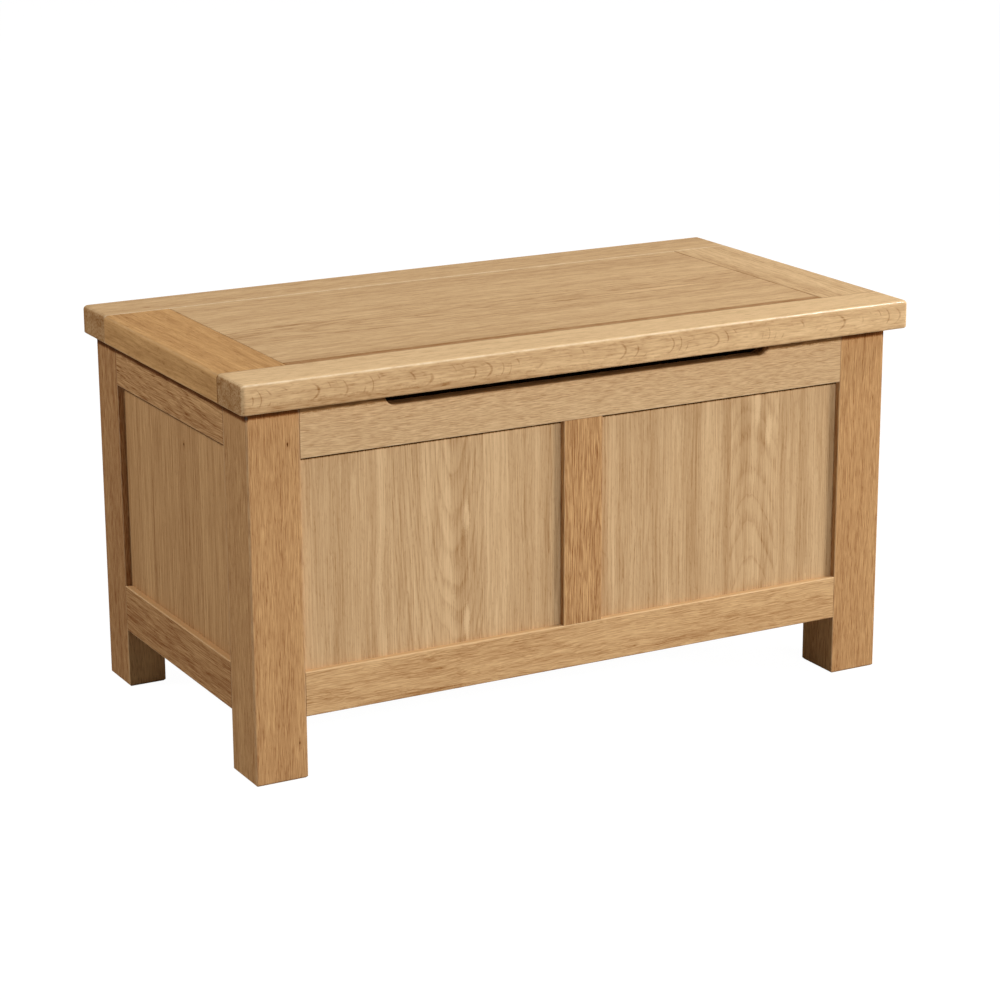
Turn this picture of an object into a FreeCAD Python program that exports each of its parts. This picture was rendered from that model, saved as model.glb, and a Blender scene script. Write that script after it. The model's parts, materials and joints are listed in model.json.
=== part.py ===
"""Oak blanket chest: a framed and panelled box on four legs under a hinged, framed lid.

The frame stands on the floor at z = 0. The front faces -Y, +X is to the right, and the
origin is under the middle of the whole piece. All sizes are in millimetres.
"""
import FreeCAD, Part
import math
import os
import re
import Sketcher

# ---------------------------------------------------------------- driving sizes
SIZES = [
    # carcass
    ("body_width", 818.6, "outside of the legs, side to side"),
    ("body_depth", 432.6, "outside of the legs, front to back"),
    ("body_height", 421.5, "floor to the top of the legs"),
    ("front_leg_width", 62, "front legs, side to side"),
    ("back_leg_width", 46, "back legs, side to side"),
    ("leg_depth", 62, "all legs, front to back"),
    ("leg_round", 2.5, "rounding of each leg's outer corner"),
    ("foot_chamfer", 2.2, "chamfer round the foot of each leg"),
    ("arris", 0.7, "eased edge on the rails, mullions and inner leg corners"),
    # rails and mullions
    ("rail_thickness", 22, "thickness of rails and mullions"),
    ("long_top_width", 59.7, "height of the front and back top rails"),
    ("long_bottom_width", 51, "height of the front and back bottom rails"),
    ("side_top_width", 51, "height of the side top rails"),
    ("side_bottom_width", 55.5, "height of the side bottom rails"),
    ("foot_height", 71, "floor to the underside of the bottom rails"),
    ("mullion_width", 50, "middle uprights, side to side"),
    ("panel_thickness", 8, "thickness of the panels, grooves and tenons"),
    ("panel_recess", 7.5, "face of the rails to the face of the panels"),
    ("groove_depth", 10, "depth of the panel grooves"),
    ("panel_slack", 1.5, "room left in a groove for a panel to swell"),
    ("tenon_length", 30, "length of the rails' tenons"),
    ("mortise_spare", 1, "room past the end of a tenon"),
    ("haunch", 12, "top of a top rail to the top of its tenon"),
    ("tenon_shoulder", 8, "underside of a bottom rail to its tenon"),
    # finger recess in the front top rail
    ("finger_width", 493, "length of the finger recess"),
    ("finger_depth", 15, "depth of the finger recess"),
    ("finger_corner", 13, "radius at the ends of the finger recess"),
    ("finger_ease", 1.2, "chamfer on the finger recess's edges"),
    # floor
    ("floor_height", 95, "floor to the underside of the bottom board"),
    ("floor_thickness", 9, "thickness of the bottom board"),
    ("floor_slack", 1, "room round the bottom board"),
    ("batten_size", 18, "side of the square battens"),
    # lid
    ("side_overhang", 15.7, "lid past the legs at each side"),
    ("front_overhang", 24.7, "lid past the legs at the front"),
    ("back_overhang", 1.4, "lid past the legs at the back"),
    ("lid_gap", 1.5, "top of the legs to the underside of the lid"),
    ("lid_thickness", 33, "thickness of the lid's frame"),
    ("lid_front_width", 62, "front rail of the lid, front to back"),
    ("lid_back_width", 71, "back rail of the lid, front to back"),
    ("lid_end_width", 81, "end rails of the lid, side to side"),
    ("lid_corner", 6, "radius of the lid's upright corners"),
    ("lid_top_round", 5, "radius along the lid's top edge"),
    ("lid_under_ease", 1.5, "chamfer along the lid's bottom edge"),
    ("lid_tenon_length", 25, "length of the end rails' tenons"),
    ("lid_tenon_shoulder", 16, "outer edge of an end rail to its tenon"),
    ("lid_tongue_drop", 6, "top of the lid to the tongues and grooves"),
    ("board_thickness", 20, "thickness of the boards in the lid"),
    ("board_one", 62, "width of the lid's back board"),
    ("board_two", 74, "width of the lid's second board"),
    ("board_three", 86, "width of the lid's third board"),
    ("joint_vee", 0.7, "chamfer each side of the joints at the boards' ends"),
    ("buffer_radius", 5, "radius of the lid buffers"),
    # hinges
    ("hinge_inset", 113.3, "back leg to the middle of the hinge beside it"),
    ("hinge_length", 65, "length of each hinge"),
    ("leaf_width", 24, "pin to the edge of a leaf"),
    ("leaf_thickness", 1.8, "thickness of a leaf"),
    ("leaf_gap", 0.3, "between the two leaves when closed"),
    ("knuckle_radius", 3, "outside radius of the knuckles"),
    ("knuckle_gap", 0.2, "between one knuckle and the next, and to the lid"),
    ("notch_gap", 0.3, "round a knuckle in the other leaf's notch"),
    ("pin_radius", 1.4, "radius of the hinge pin"),
    ("pin_fit", 0.08, "running clearance round the pins and rivets"),
    ("hinge_screw_line", 13.5, "pin to the line of screws in a leaf"),
    ("hinge_screw_pitch", 22, "between the screws in a leaf"),
    # folding lid stays
    ("side_pivot_forward", 45, "hinge pin forward to the pivot on the leg"),
    ("side_pivot_drop", 130, "hinge pin down to the pivot on the leg"),
    ("lid_pivot_forward", 150, "hinge pin forward to the pivot on the lid"),
    ("lid_pivot_drop", 12, "underside of the lid to the pivot on it"),
    ("stay_plate", 2.5, "thickness of the stays' flat bars and brackets"),
    ("stay_gap", 0.3, "between one layer of a stay and the next"),
    ("stay_half", 8, "half the width of an arm or link"),
    ("rivet_radius", 3, "radius of the rivets' shanks"),
    ("rivet_head_radius", 5, "radius of the rivets' heads"),
    ("rivet_head", 1.2, "thickness of the rivets' heads"),
    ("plate_half", 11, "half the width of the bracket on the leg"),
    ("plate_below", 14, "pivot down to the end of the bracket on the leg"),
    ("plate_above", 52, "pivot up to the end of the bracket on the leg"),
    ("plate_corner", 4, "corner radius of the bracket on the leg"),
    ("plate_first_screw", 16, "pivot up to the first screw of the bracket"),
    ("plate_screw_pitch", 26, "between the screws of the bracket on the leg"),
    ("lid_bracket_half", 18, "half the length of the bracket on the lid"),
    ("lid_bracket_flange", 18, "width of the flange against the lid"),
    ("lid_bracket_below", 9, "pivot down to the end of the ear"),
    ("lid_bracket_screw", 11, "pivot to each screw of the bracket on the lid"),
    # screws
    ("screw_head", 3.4, "radius of a countersunk head"),
    ("screw_shank", 1.7, "radius of a screw"),
    ("screw_fit", 0.05, "clearance round a screw in its hole"),
    ("screw_point", 1.1, "chamfer at the end of a screw"),
    ("short_screw", 16, "length of the hinge and stay screws"),
    ("long_screw", 32, "length of the batten screws"),
    ("batten_screw_end", 45, "end of a batten to its first screw"),
]

# the knuckles along a hinge, by the leaf that carries each
KNUCKLES = ("frame", "lid", "frame")
# screws and their holes, rivet heads and buffers have flat sides, which keeps the model light
SCREW_SIDES = 8
DISC_SIDES = 12

# ---------------------------------------------------------------- places worked out from them
PLACES = [
    ("side_face", "body_width / 2"),
    ("lid_side", "side_face + side_overhang"),
    ("lid_depth", "body_depth + front_overhang + back_overhang"),
    ("lid_front", "-(lid_depth + knuckle_gap + 2 * knuckle_radius) / 2"),
    ("lid_back", "lid_front + lid_depth"),
    ("front_face", "lid_front + front_overhang"),
    ("back_face", "lid_back - back_overhang"),
    ("pin_y", "lid_back + knuckle_gap + knuckle_radius"),
    ("pin_z", "body_height + lid_gap / 2"),
    ("lid_under", "body_height + lid_gap"),
    ("lid_top", "lid_under + lid_thickness"),
    ("long_top_low", "body_height - long_top_width"),
    ("long_bottom_high", "foot_height + long_bottom_width"),
    ("side_top_low", "body_height - side_top_width"),
    ("side_bottom_high", "foot_height + side_bottom_width"),
    ("groove_back", "panel_recess + panel_thickness"),
    ("panel_grip", "groove_depth - panel_slack"),
    ("front_shoulder", "side_face - front_leg_width"),
    ("back_shoulder", "side_face - back_leg_width"),
    ("front_side_shoulder", "front_face + leg_depth"),
    ("back_side_shoulder", "back_face - leg_depth"),
    ("floor_top", "floor_height + floor_thickness"),
    ("batten_low", "floor_height - batten_size"),
    ("lid_front_inner", "lid_front + lid_front_width"),
    ("lid_back_inner", "lid_back - lid_back_width"),
    ("lid_end_inner", "lid_side - lid_end_width"),
    ("tongue_high", "lid_top - lid_tongue_drop"),
    ("tongue_low", "tongue_high - panel_thickness"),
    ("leaf_low", "pin_z - leaf_gap / 2 - leaf_thickness"),
    ("leaf_face_low", "pin_z - leaf_gap / 2"),
    ("leaf_face_high", "pin_z + leaf_gap / 2"),
    ("leaf_high", "pin_z + leaf_gap / 2 + leaf_thickness"),
    ("leaf_edge", "pin_y - leaf_width"),
    ("knuckle_pitch", f"hinge_length / {len(KNUCKLES)}"),
    ("hinge_middle", "back_shoulder - hinge_inset"),
    ("screw_hole", "screw_shank + screw_fit"),
    ("sink", "screw_head - screw_shank"),
    ("side_pivot_y", "pin_y - side_pivot_forward"),
    ("side_pivot_z", "pin_z - side_pivot_drop"),
    ("lid_pivot_y", "pin_y - lid_pivot_forward"),
    ("lid_pivot_z", "lid_under - lid_pivot_drop"),
    ("knee_y", "side_pivot_y + lid_pivot_y - pin_y"),
    ("knee_z", "side_pivot_z + lid_pivot_z - pin_z"),
    ("arm_layer", "stay_plate + stay_gap"),
    ("link_layer", "2 * arm_layer"),
    ("stay_inner", "3 * arm_layer"),
]

doc = FreeCAD.newDocument("BlanketChest")
sheet = doc.addObject("Spreadsheet::Sheet", "Sizes")
for row, (alias, number, note) in enumerate(SIZES, 1):
    sheet.set(f"A{row}", note)
    sheet.set(f"B{row}", str(number))
    sheet.setAlias(f"B{row}", alias)
for row, (alias, formula) in enumerate(PLACES, len(SIZES) + 2):
    sheet.set(f"A{row}", alias.replace("_", " "))
    sheet.set(f"B{row}", "=" + formula)
    sheet.setAlias(f"B{row}", alias)
doc.recompute()

ALIASES = {entry[0] for entry in SIZES + PLACES}


def bound(formula):
    """The formula with each alias named as a cell of the sheet."""
    return re.sub(r"[a-z]\w*", lambda word: "Sizes." + word[0] if word[0] in ALIASES else word[0],
                  formula)


def value(formula):
    """What a formula comes to at present."""
    return float(sheet.evalExpression(bound(formula)))


# ---------------------------------------------------------------- sketches
PLANES = {"X": "YZ_Plane", "Y": "XZ_Plane", "Z": "XY_Plane"}
# the points of a curve, by the number that a constraint knows them by
START, END, CENTRE = range(1, 4)


def sketch_on(body, name, axis, level):
    """An empty sketch square to an axis, at a level along it. The XZ plane faces -Y."""
    plane = next(f for f in body.Origin.OriginFeatures if f.Role == PLANES[axis])
    sketch = body.newObject("Sketcher::SketchObject", name)
    sketch.AttachmentSupport = [(plane, "")]
    sketch.MapMode = "FlatFace"
    height = f"-({level})" if axis == "Y" else level
    sketch.setExpression("AttachmentOffset.Base.z", bound(height))
    return sketch


def measure(sketch, kind, *where, formula):
    """A dimension in a sketch, bound to a formula."""
    index = sketch.addConstraint(Sketcher.Constraint(kind, *where, value(formula)))
    sketch.setExpression(f"Constraints[{index}]", bound(formula))


def place_point(sketch, curve, end, across, up):
    """Holds a point of a curve at a place in the sketch."""
    measure(sketch, "DistanceX", -1, 1, curve, end, formula=across)
    measure(sketch, "DistanceY", -1, 1, curve, end, formula=up)


def polygon(sketch, corners):
    """A closed outline of straight lines through the corners."""
    points = [FreeCAD.Vector(value(across), value(up), 0) for across, up in corners]
    first = sketch.GeometryCount
    count = len(points)
    for index in range(count):
        line = Part.LineSegment(points[index], points[(index + 1) % count])
        sketch.addGeometry(line, False)
    for index in range(count):
        following = first + (index + 1) % count
        sketch.addConstraint(Sketcher.Constraint("Coincident", first + index, END, following, START))
    for index, (across, up) in enumerate(corners):
        place_point(sketch, first + index, START, across, up)


def rectangle(sketch, left, right, low, high):
    polygon(sketch, [(left, low), (right, low), (right, high), (left, high)])


def circle(sketch, across, up, radius):
    centre = FreeCAD.Vector(value(across), value(up), 0)
    curve = sketch.addGeometry(Part.Circle(centre, FreeCAD.Vector(0, 0, 1), value(radius)), False)
    measure(sketch, "Radius", curve, formula=radius)
    place_point(sketch, curve, CENTRE, across, up)


def many_sided(sketch, across, up, radius, sides=SCREW_SIDES):
    """A regular outline with its corners on a circle."""
    angles = [360 * index / sides for index in range(sides)]
    polygon(sketch, [(f"({across}) + ({radius}) * cos({angle})", f"({up}) + ({radius}) * sin({angle})")
                     for angle in angles])


def scoop(sketch, half, high, depth, corner):
    """A long recess under a level, with a round corner at each end of its bottom."""
    left, right = -value(half), value(half)
    top, low, radius = value(high), value(high) - value(depth), value(corner)
    up = FreeCAD.Vector(0, 0, 1)
    ends = [Part.Circle(FreeCAD.Vector(x, low + radius, 0), up, radius)
            for x in (left + radius, right - radius)]
    curves = [
        Part.LineSegment(FreeCAD.Vector(left, top, 0), FreeCAD.Vector(left, low + radius, 0)),
        Part.ArcOfCircle(ends[0], math.pi, 1.5 * math.pi),
        Part.LineSegment(FreeCAD.Vector(left + radius, low, 0), FreeCAD.Vector(right - radius, low, 0)),
        Part.ArcOfCircle(ends[1], 1.5 * math.pi, 2 * math.pi),
        Part.LineSegment(FreeCAD.Vector(right, low + radius, 0), FreeCAD.Vector(right, top, 0)),
        Part.LineSegment(FreeCAD.Vector(right, top, 0), FreeCAD.Vector(left, top, 0)),
    ]
    for curve in curves:
        sketch.addGeometry(curve, False)
    for one, its_end, other, its_start in ((0, END, 1, START), (1, END, 2, START),
                                           (2, END, 3, START), (3, END, 4, START)):
        sketch.addConstraint(Sketcher.Constraint("Tangent", one, its_end, other, its_start))
    sketch.addConstraint(Sketcher.Constraint("Coincident", 4, END, 5, START))
    sketch.addConstraint(Sketcher.Constraint("Coincident", 5, END, 0, START))
    sketch.addConstraint(Sketcher.Constraint("Vertical", 0))
    sketch.addConstraint(Sketcher.Constraint("Vertical", 4))
    measure(sketch, "Radius", 1, formula=corner)
    measure(sketch, "Radius", 3, formula=corner)
    place_point(sketch, 0, START, f"-({half})", high)
    place_point(sketch, 4, END, half, high)
    measure(sketch, "DistanceY", -1, 1, 2, START, formula=f"{high} - ({depth})")


def bar_outline(sketch, length, half, hole):
    """A flat bar from the sketch's origin along its X, with round ends and a hole in each."""
    run, radius = value(length), value(half)
    up = FreeCAD.Vector(0, 0, 1)
    near = Part.Circle(FreeCAD.Vector(0, 0, 0), up, radius)
    far = Part.Circle(FreeCAD.Vector(run, 0, 0), up, radius)
    upper = Part.LineSegment(FreeCAD.Vector(0, radius, 0), FreeCAD.Vector(run, radius, 0))
    lower = Part.LineSegment(FreeCAD.Vector(run, -radius, 0), FreeCAD.Vector(0, -radius, 0))
    sketch.addGeometry(upper, False)
    sketch.addGeometry(Part.ArcOfCircle(far, -math.pi / 2, math.pi / 2), False)
    sketch.addGeometry(lower, False)
    sketch.addGeometry(Part.ArcOfCircle(near, math.pi / 2, 1.5 * math.pi), False)
    for one, its_end, other, its_start in ((0, END, 1, END), (1, START, 2, START),
                                           (2, END, 3, END), (3, START, 0, START)):
        sketch.addConstraint(Sketcher.Constraint("Tangent", one, its_end, other, its_start))
    measure(sketch, "Radius", 3, formula=half)
    place_point(sketch, 3, CENTRE, "0", "0")
    place_point(sketch, 1, CENTRE, length, "0")
    circle(sketch, "0", "0", hole)
    circle(sketch, length, "0", hole)


# ---------------------------------------------------------------- solids
PIECES = []


def new_piece(label):
    """A body whose label names a piece of the chest."""
    body = doc.addObject("PartDesign::Body", "".join(word.title() for word in label.split("_")))
    body.Label = label
    PIECES.append(body)
    return body


def ordered(one, other):
    """Two formulas, the lower one first."""
    return (one, other) if value(one) <= value(other) else (other, one)


def extrude(body, kind, name, axis, ends, draw, *shape):
    """Pads or pockets an outline between two levels along an axis."""
    low, high = ordered(*ends)
    from_high = (axis == "Y") == (kind == "Pad")
    sketch = sketch_on(body, name + "Sketch", axis, high if from_high else low)
    draw(sketch, *shape)
    feature = body.newObject("PartDesign::" + kind, name)
    feature.Profile = sketch
    feature.setExpression("Length", bound(f"({high}) - ({low})"))
    return feature


def pad(body, name, axis, ends, draw, *shape):
    return extrude(body, "Pad", name, axis, ends, draw, *shape)


def cut(body, name, axis, ends, draw, *shape):
    return extrude(body, "Pocket", name, axis, ends, draw, *shape)


def bore(body, name, axis, ends, centres, radius, outline=circle):
    """Holes side by side."""
    def draw(sketch):
        for across, up in centres:
            outline(sketch, across, up, radius)
    return cut(body, name, axis, ends, draw)


def screw_holes(body, name, axis, ends, centres):
    """Holes side by side that take the screws with a running clearance."""
    return bore(body, name, axis, ends, centres, "screw_hole", many_sided)


def dress(body, kind, name, size, chosen):
    """Fillets or chamfers the edges whose middle point passes a test."""
    doc.recompute()
    base = body.Tip
    edges = []
    for index, edge in enumerate(base.Shape.Edges, 1):
        middle = edge.valueAt((edge.FirstParameter + edge.LastParameter) / 2)
        if chosen(middle, edge):
            edges.append(f"Edge{index}")
    if not edges:
        raise ValueError(f"{body.Label}: no edge for {name}")
    feature = body.newObject("PartDesign::" + kind, name)
    feature.Base = (base, edges)
    feature.setExpression("Radius" if kind == "Fillet" else "Size", bound(size))
    return feature


def near(number, formula):
    """Whether a measured number is what a formula comes to."""
    return abs(number - value(formula)) < 0.01


def countersink(body, axis, level):
    """Chamfers the mouths of the screw holes in the face at a level along an axis."""
    side = f"2 * screw_hole * sin({180 / SCREW_SIDES})"
    dress(body, "Chamfer", "Sinks", "sink",
          lambda point, edge: near(edge.Length, side) and near(getattr(point, axis.lower()), level))


# ---------------------------------------------------------------- the four walls
class Wall:
    """One wall of the carcass: where its outer face lies and which legs end it."""

    def __init__(self, name, along, face, inward, low_end, high_end, bottom, top):
        self.name = name
        self.along = along
        self.face = face
        self.inward = inward
        self.ends = (low_end, high_end)
        self.bottom_high = bottom
        self.top_low = top

    def at(self, depth):
        """A place that far in from the wall's outer face."""
        return f"{self.face} {self.inward} ({depth})"


WALLS = {
    "front": Wall("front", "X", "front_face", "+", "-front_shoulder", "front_shoulder",
                  "long_bottom_high", "long_top_low"),
    "back": Wall("back", "X", "back_face", "-", "-back_shoulder", "back_shoulder",
                 "long_bottom_high", "long_top_low"),
    "left": Wall("left", "Y", "-side_face", "+", "front_side_shoulder", "back_side_shoulder",
                 "side_bottom_high", "side_top_low"),
    "right": Wall("right", "Y", "side_face", "-", "front_side_shoulder", "back_side_shoulder",
                  "side_bottom_high", "side_top_low"),
}


def rail(wall, label, low, high, grooved_top, tenon_low, tenon_high):
    """A rail with its outer edges eased, a panel groove in one edge and a tenon on each end."""
    body = new_piece(label)
    face, back = wall.at("0"), wall.at("rail_thickness")
    eased = wall.at("arris")
    near_groove, far_groove = wall.at("panel_recess"), wall.at("groove_back")
    if grooved_top:
        edge, bottom, other = high, f"{high} - groove_depth", low
        ease_at, ease_other = f"{high} - arris", f"{low} + arris"
    else:
        edge, bottom, other = low, f"{low} + groove_depth", high
        ease_at, ease_other = f"{low} + arris", f"{high} - arris"
    section = [(eased, other), (back, other), (back, edge), (far_groove, edge), (far_groove, bottom),
               (near_groove, bottom), (near_groove, edge), (eased, edge), (face, ease_at),
               (face, ease_other)]
    pad(body, "Rail", wall.along, wall.ends, polygon, section)
    for number, (end, away) in enumerate(zip(wall.ends, "-+")):
        tenon_end = f"{end} {away} tenon_length"
        pad(body, f"Tenon{number}", wall.along, (end, tenon_end), rectangle,
            near_groove, far_groove, tenon_low, tenon_high)
    return body


def wall_rails(wall):
    """The bottom and top rails of a wall."""
    bottom = rail(wall, f"{wall.name}_bottom_rail", "foot_height", wall.bottom_high, True,
                  "foot_height + tenon_shoulder", f"{wall.bottom_high} - groove_depth")
    top = rail(wall, f"{wall.name}_top_rail", wall.top_low, "body_height", False,
               f"{wall.top_low} + groove_depth", "body_height - haunch")
    return bottom, top


def mullion(wall):
    """The middle upright, grooved on both edges, with a stub tenon in each rail's groove."""
    body = new_piece(f"{wall.name}_mullion")
    face, back, eased = wall.at("0"), wall.at("rail_thickness"), wall.at("arris")
    near_groove, far_groove = wall.at("panel_recess"), wall.at("groove_back")
    half, groove = "mullion_width / 2", "mullion_width / 2 - groove_depth"

    def edge(side):
        return [(f"{side}({half} - arris)", face), (f"{side}({half})", eased),
                (f"{side}({half})", near_groove), (f"{side}({groove})", near_groove),
                (f"{side}({groove})", far_groove), (f"{side}({half})", far_groove),
                (f"{side}({half})", back)]

    pad(body, "Upright", "Z", (wall.bottom_high, wall.top_low), polygon,
        edge("") + edge("-")[::-1])
    for name, shoulder, away in (("LowerTenon", wall.bottom_high, "-"), ("UpperTenon", wall.top_low, "+")):
        pad(body, name, "Z", (shoulder, f"{shoulder} {away} groove_depth"), rectangle,
            f"-({groove})", groove, near_groove, far_groove)


def panel(wall, label, low_end, high_end):
    """A flat panel that stands on the bottom rail's groove and floats in the others."""
    body = new_piece(label)
    pad(body, "Board", wall.along, (f"{low_end} - panel_grip", f"{high_end} + panel_grip"),
        rectangle, wall.at("panel_recess"), wall.at("groove_back"),
        f"{wall.bottom_high} - groove_depth", f"{wall.top_low} + panel_grip")


def leg(label, side, front):
    """A square leg with mortises for four tenons and a stopped groove for each panel."""
    body = new_piece(label)
    long_wall = WALLS["front" if front else "back"]
    side_wall = WALLS["left" if side == "-" else "right"]
    width = "front_leg_width" if front else "back_leg_width"
    outer_x, inner_x = side_wall.at("0"), side_wall.at(width)
    outer_y, inner_y = long_wall.at("0"), long_wall.at("leg_depth")
    pad(body, "Post", "Z", ("0", "body_height"), rectangle, outer_x, inner_x, outer_y, inner_y)

    def is_outer(point):
        return near(point.x, outer_x) and near(point.y, outer_y)

    dress(body, "Fillet", "OuterCorner", "leg_round",
          lambda point, edge: is_outer(point) and near(edge.Length, "body_height"))
    corners = [(outer_x, inner_y), (inner_x, outer_y), (inner_x, inner_y)]
    dress(body, "Chamfer", "InnerCorners", "arris",
          lambda point, edge: near(edge.Length, "body_height")
          and any(near(point.x, x) and near(point.y, y) for x, y in corners))

    def foot_wedges(sketch, outer, inner):
        for face, away in zip(ordered(outer, inner), "+-"):
            polygon(sketch, [(face, "0"), (f"{face} {away} foot_chamfer", "0"), (face, "foot_chamfer")])

    cut(body, "FootSides", "Y", (outer_y, inner_y), foot_wedges, outer_x, inner_x)
    cut(body, "FootEnds", "X", (outer_x, inner_x), foot_wedges, outer_y, inner_y)

    for wall, inner, outward in ((long_wall, inner_x, "+" if side == "+" else "-"),
                                 (side_wall, inner_y, "-" if front else "+")):
        title = "Long" if wall is long_wall else "Side"
        slot = (wall.at("panel_recess"), wall.at("groove_back"))
        mortise = (inner, f"{inner} {outward} (tenon_length + mortise_spare)")
        cut(body, title + "BottomMortise", wall.along, mortise, rectangle, *slot,
            "foot_height + tenon_shoulder", f"{wall.bottom_high} - groove_depth")
        cut(body, title + "TopMortise", wall.along, mortise, rectangle, *slot,
            f"{wall.top_low} + groove_depth", "body_height - haunch")
        cut(body, title + "Groove", wall.along, (inner, f"{inner} {outward} groove_depth"), rectangle,
            *slot, f"{wall.bottom_high} - groove_depth", f"{wall.top_low} + groove_depth")
    return body


# ---------------------------------------------------------------- carcass
legs = {}
for corner_name, side, front in (("front_left", "-", True), ("front_right", "+", True),
                                 ("back_left", "-", False), ("back_right", "+", False)):
    legs[corner_name] = leg(corner_name + "_leg", side, front)

bottom_rails, top_rails = {}, {}
for wall_name, wall in WALLS.items():
    bottom_rails[wall_name], top_rails[wall_name] = wall_rails(wall)

for wall_name in ("front", "back"):
    wall = WALLS[wall_name]
    mullion(wall)
    panel(wall, f"{wall_name}_left_panel", wall.ends[0], "-mullion_width / 2")
    panel(wall, f"{wall_name}_right_panel", "mullion_width / 2", wall.ends[1])
for wall_name in ("left", "right"):
    wall = WALLS[wall_name]
    panel(wall, f"{wall_name}_panel", *wall.ends)

# the finger recess goes through the front top rail, so that the lid can be lifted
cut(top_rails["front"], "FingerRecess", "Y", ("front_face", "front_face + rail_thickness"),
    scoop, "finger_width / 2", "body_height", "finger_depth", "finger_corner")
dress(top_rails["front"], "Chamfer", "FingerEase", "finger_ease",
      lambda point, edge: value("body_height - finger_depth") - 0.01 < point.z < value("body_height") - 0.01
      and abs(point.x) < value("finger_width / 2") + 0.01
      and (near(point.y, "front_face") or near(point.y, "front_face + rail_thickness")))


# ---------------------------------------------------------------- bottom board on its battens
floor = new_piece("bottom_board")
board_side = "side_face - rail_thickness - floor_slack"
board_front = "front_face + rail_thickness + floor_slack"
board_back = "back_face - rail_thickness - floor_slack"
front_notch, back_notch = "front_shoulder - floor_slack", "back_shoulder - floor_slack"
notch_front, notch_back = "front_side_shoulder + floor_slack", "back_side_shoulder - floor_slack"


def half_board(side):
    """The outline of half the bottom board, stepped in round the legs."""
    return [(f"{side}({front_notch})", board_front), (f"{side}({front_notch})", notch_front),
            (f"{side}({board_side})", notch_front), (f"{side}({board_side})", notch_back),
            (f"{side}({back_notch})", notch_back), (f"{side}({back_notch})", board_back)]


pad(floor, "Board", "Z", ("floor_height", "floor_top"), polygon, half_board("") + half_board("-")[::-1])

screw_places = []


def batten(wall):
    """A square batten screwed to the inside of a bottom rail, with its screws' places."""
    body = new_piece(f"{wall.name}_batten")
    outer, inner = wall.at("rail_thickness"), wall.at("rail_thickness + batten_size")
    low_end, high_end = f"{wall.ends[0]} + floor_slack", f"{wall.ends[1]} - floor_slack"
    pad(body, "Batten", wall.along, (low_end, high_end), rectangle,
        outer, inner, "batten_low", "floor_height")
    middle = "batten_low + batten_size / 2"
    across = [f"{low_end} + batten_screw_end", f"{high_end} - batten_screw_end"]
    if wall.along == "X":
        across.insert(1, f"(({low_end}) + ({high_end})) / 2")
    square = "Y" if wall.along == "X" else "X"
    centres = [(place, middle) for place in across]
    screw_holes(body, "ScrewHoles", square, (outer, inner), centres)
    countersink(body, square, inner)
    pilot_end = wall.at("rail_thickness + batten_size - long_screw")
    screw_holes(bottom_rails[wall.name], "PilotHoles", square, (outer, pilot_end), centres)
    for place in across:
        screw_places.append((wall, place, inner, middle))


for wall in WALLS.values():
    batten(wall)


# ---------------------------------------------------------------- lid
def lid_edge_rail(label, outer, inner):
    """The lid's front or back rail: full length, rounded outside, grooved and mortised inside."""
    body = new_piece(label)
    into = "-" if value(inner) > value(outer) else "+"
    pad(body, "Blank", "Z", ("lid_under", "lid_top"), rectangle, "-lid_side", "lid_side", outer, inner)
    dress(body, "Fillet", "Corners", "lid_corner",
          lambda point, edge: near(point.y, outer) and near(edge.Length, "lid_thickness"))
    dress(body, "Fillet", "TopRound", "lid_top_round",
          lambda point, edge: near(point.z, "lid_top") and not near(point.y, inner))
    dress(body, "Chamfer", "UnderEase", "lid_under_ease",
          lambda point, edge: near(point.z, "lid_under") and not near(point.y, inner))
    cut(body, "Groove", "Y", (inner, f"{inner} {into} groove_depth"), rectangle,
        "-(lid_end_inner + groove_depth)", "lid_end_inner + groove_depth", "tongue_low", "tongue_high")
    for number, side in enumerate("-+"):
        cut(body, f"Mortise{number}", "Y", (inner, f"{inner} {into} (lid_tenon_length + mortise_spare)"),
            rectangle, f"{side}(lid_end_inner + groove_depth)", f"{side}(lid_side - lid_tenon_shoulder)",
            "tongue_low", "tongue_high")
    return body


def lid_end_rail(label, side):
    """A rail across the end of the lid, tenoned into the front and back rails."""
    body = new_piece(label)
    outer, inner = f"{side}lid_side", f"{side}lid_end_inner"
    vee = f"{side}(lid_end_inner + joint_vee)"
    section = [(outer, "lid_under"), (inner, "lid_under"), (inner, "lid_top - joint_vee"),
               (vee, "lid_top"), (outer, "lid_top")]
    pad(body, "Blank", "Y", ("lid_front_inner", "lid_back_inner"), polygon, section)
    dress(body, "Fillet", "TopRound", "lid_top_round",
          lambda point, edge: near(point.z, "lid_top") and near(point.x, outer))
    dress(body, "Chamfer", "UnderEase", "lid_under_ease",
          lambda point, edge: near(point.z, "lid_under") and near(point.x, outer))
    cut(body, "Groove", "Y", ("lid_front_inner", "lid_back_inner"), rectangle,
        inner, f"{side}(lid_end_inner + groove_depth)", "tongue_low", "tongue_high")
    for number, (shoulder, away) in enumerate((("lid_front_inner", "-"), ("lid_back_inner", "+"))):
        pad(body, f"Tenon{number}", "Y", (shoulder, f"{shoulder} {away} lid_tenon_length"), rectangle,
            f"{side}(lid_end_inner + groove_depth)", f"{side}(lid_side - lid_tenon_shoulder)",
            "tongue_low", "tongue_high")
    return body


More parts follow.
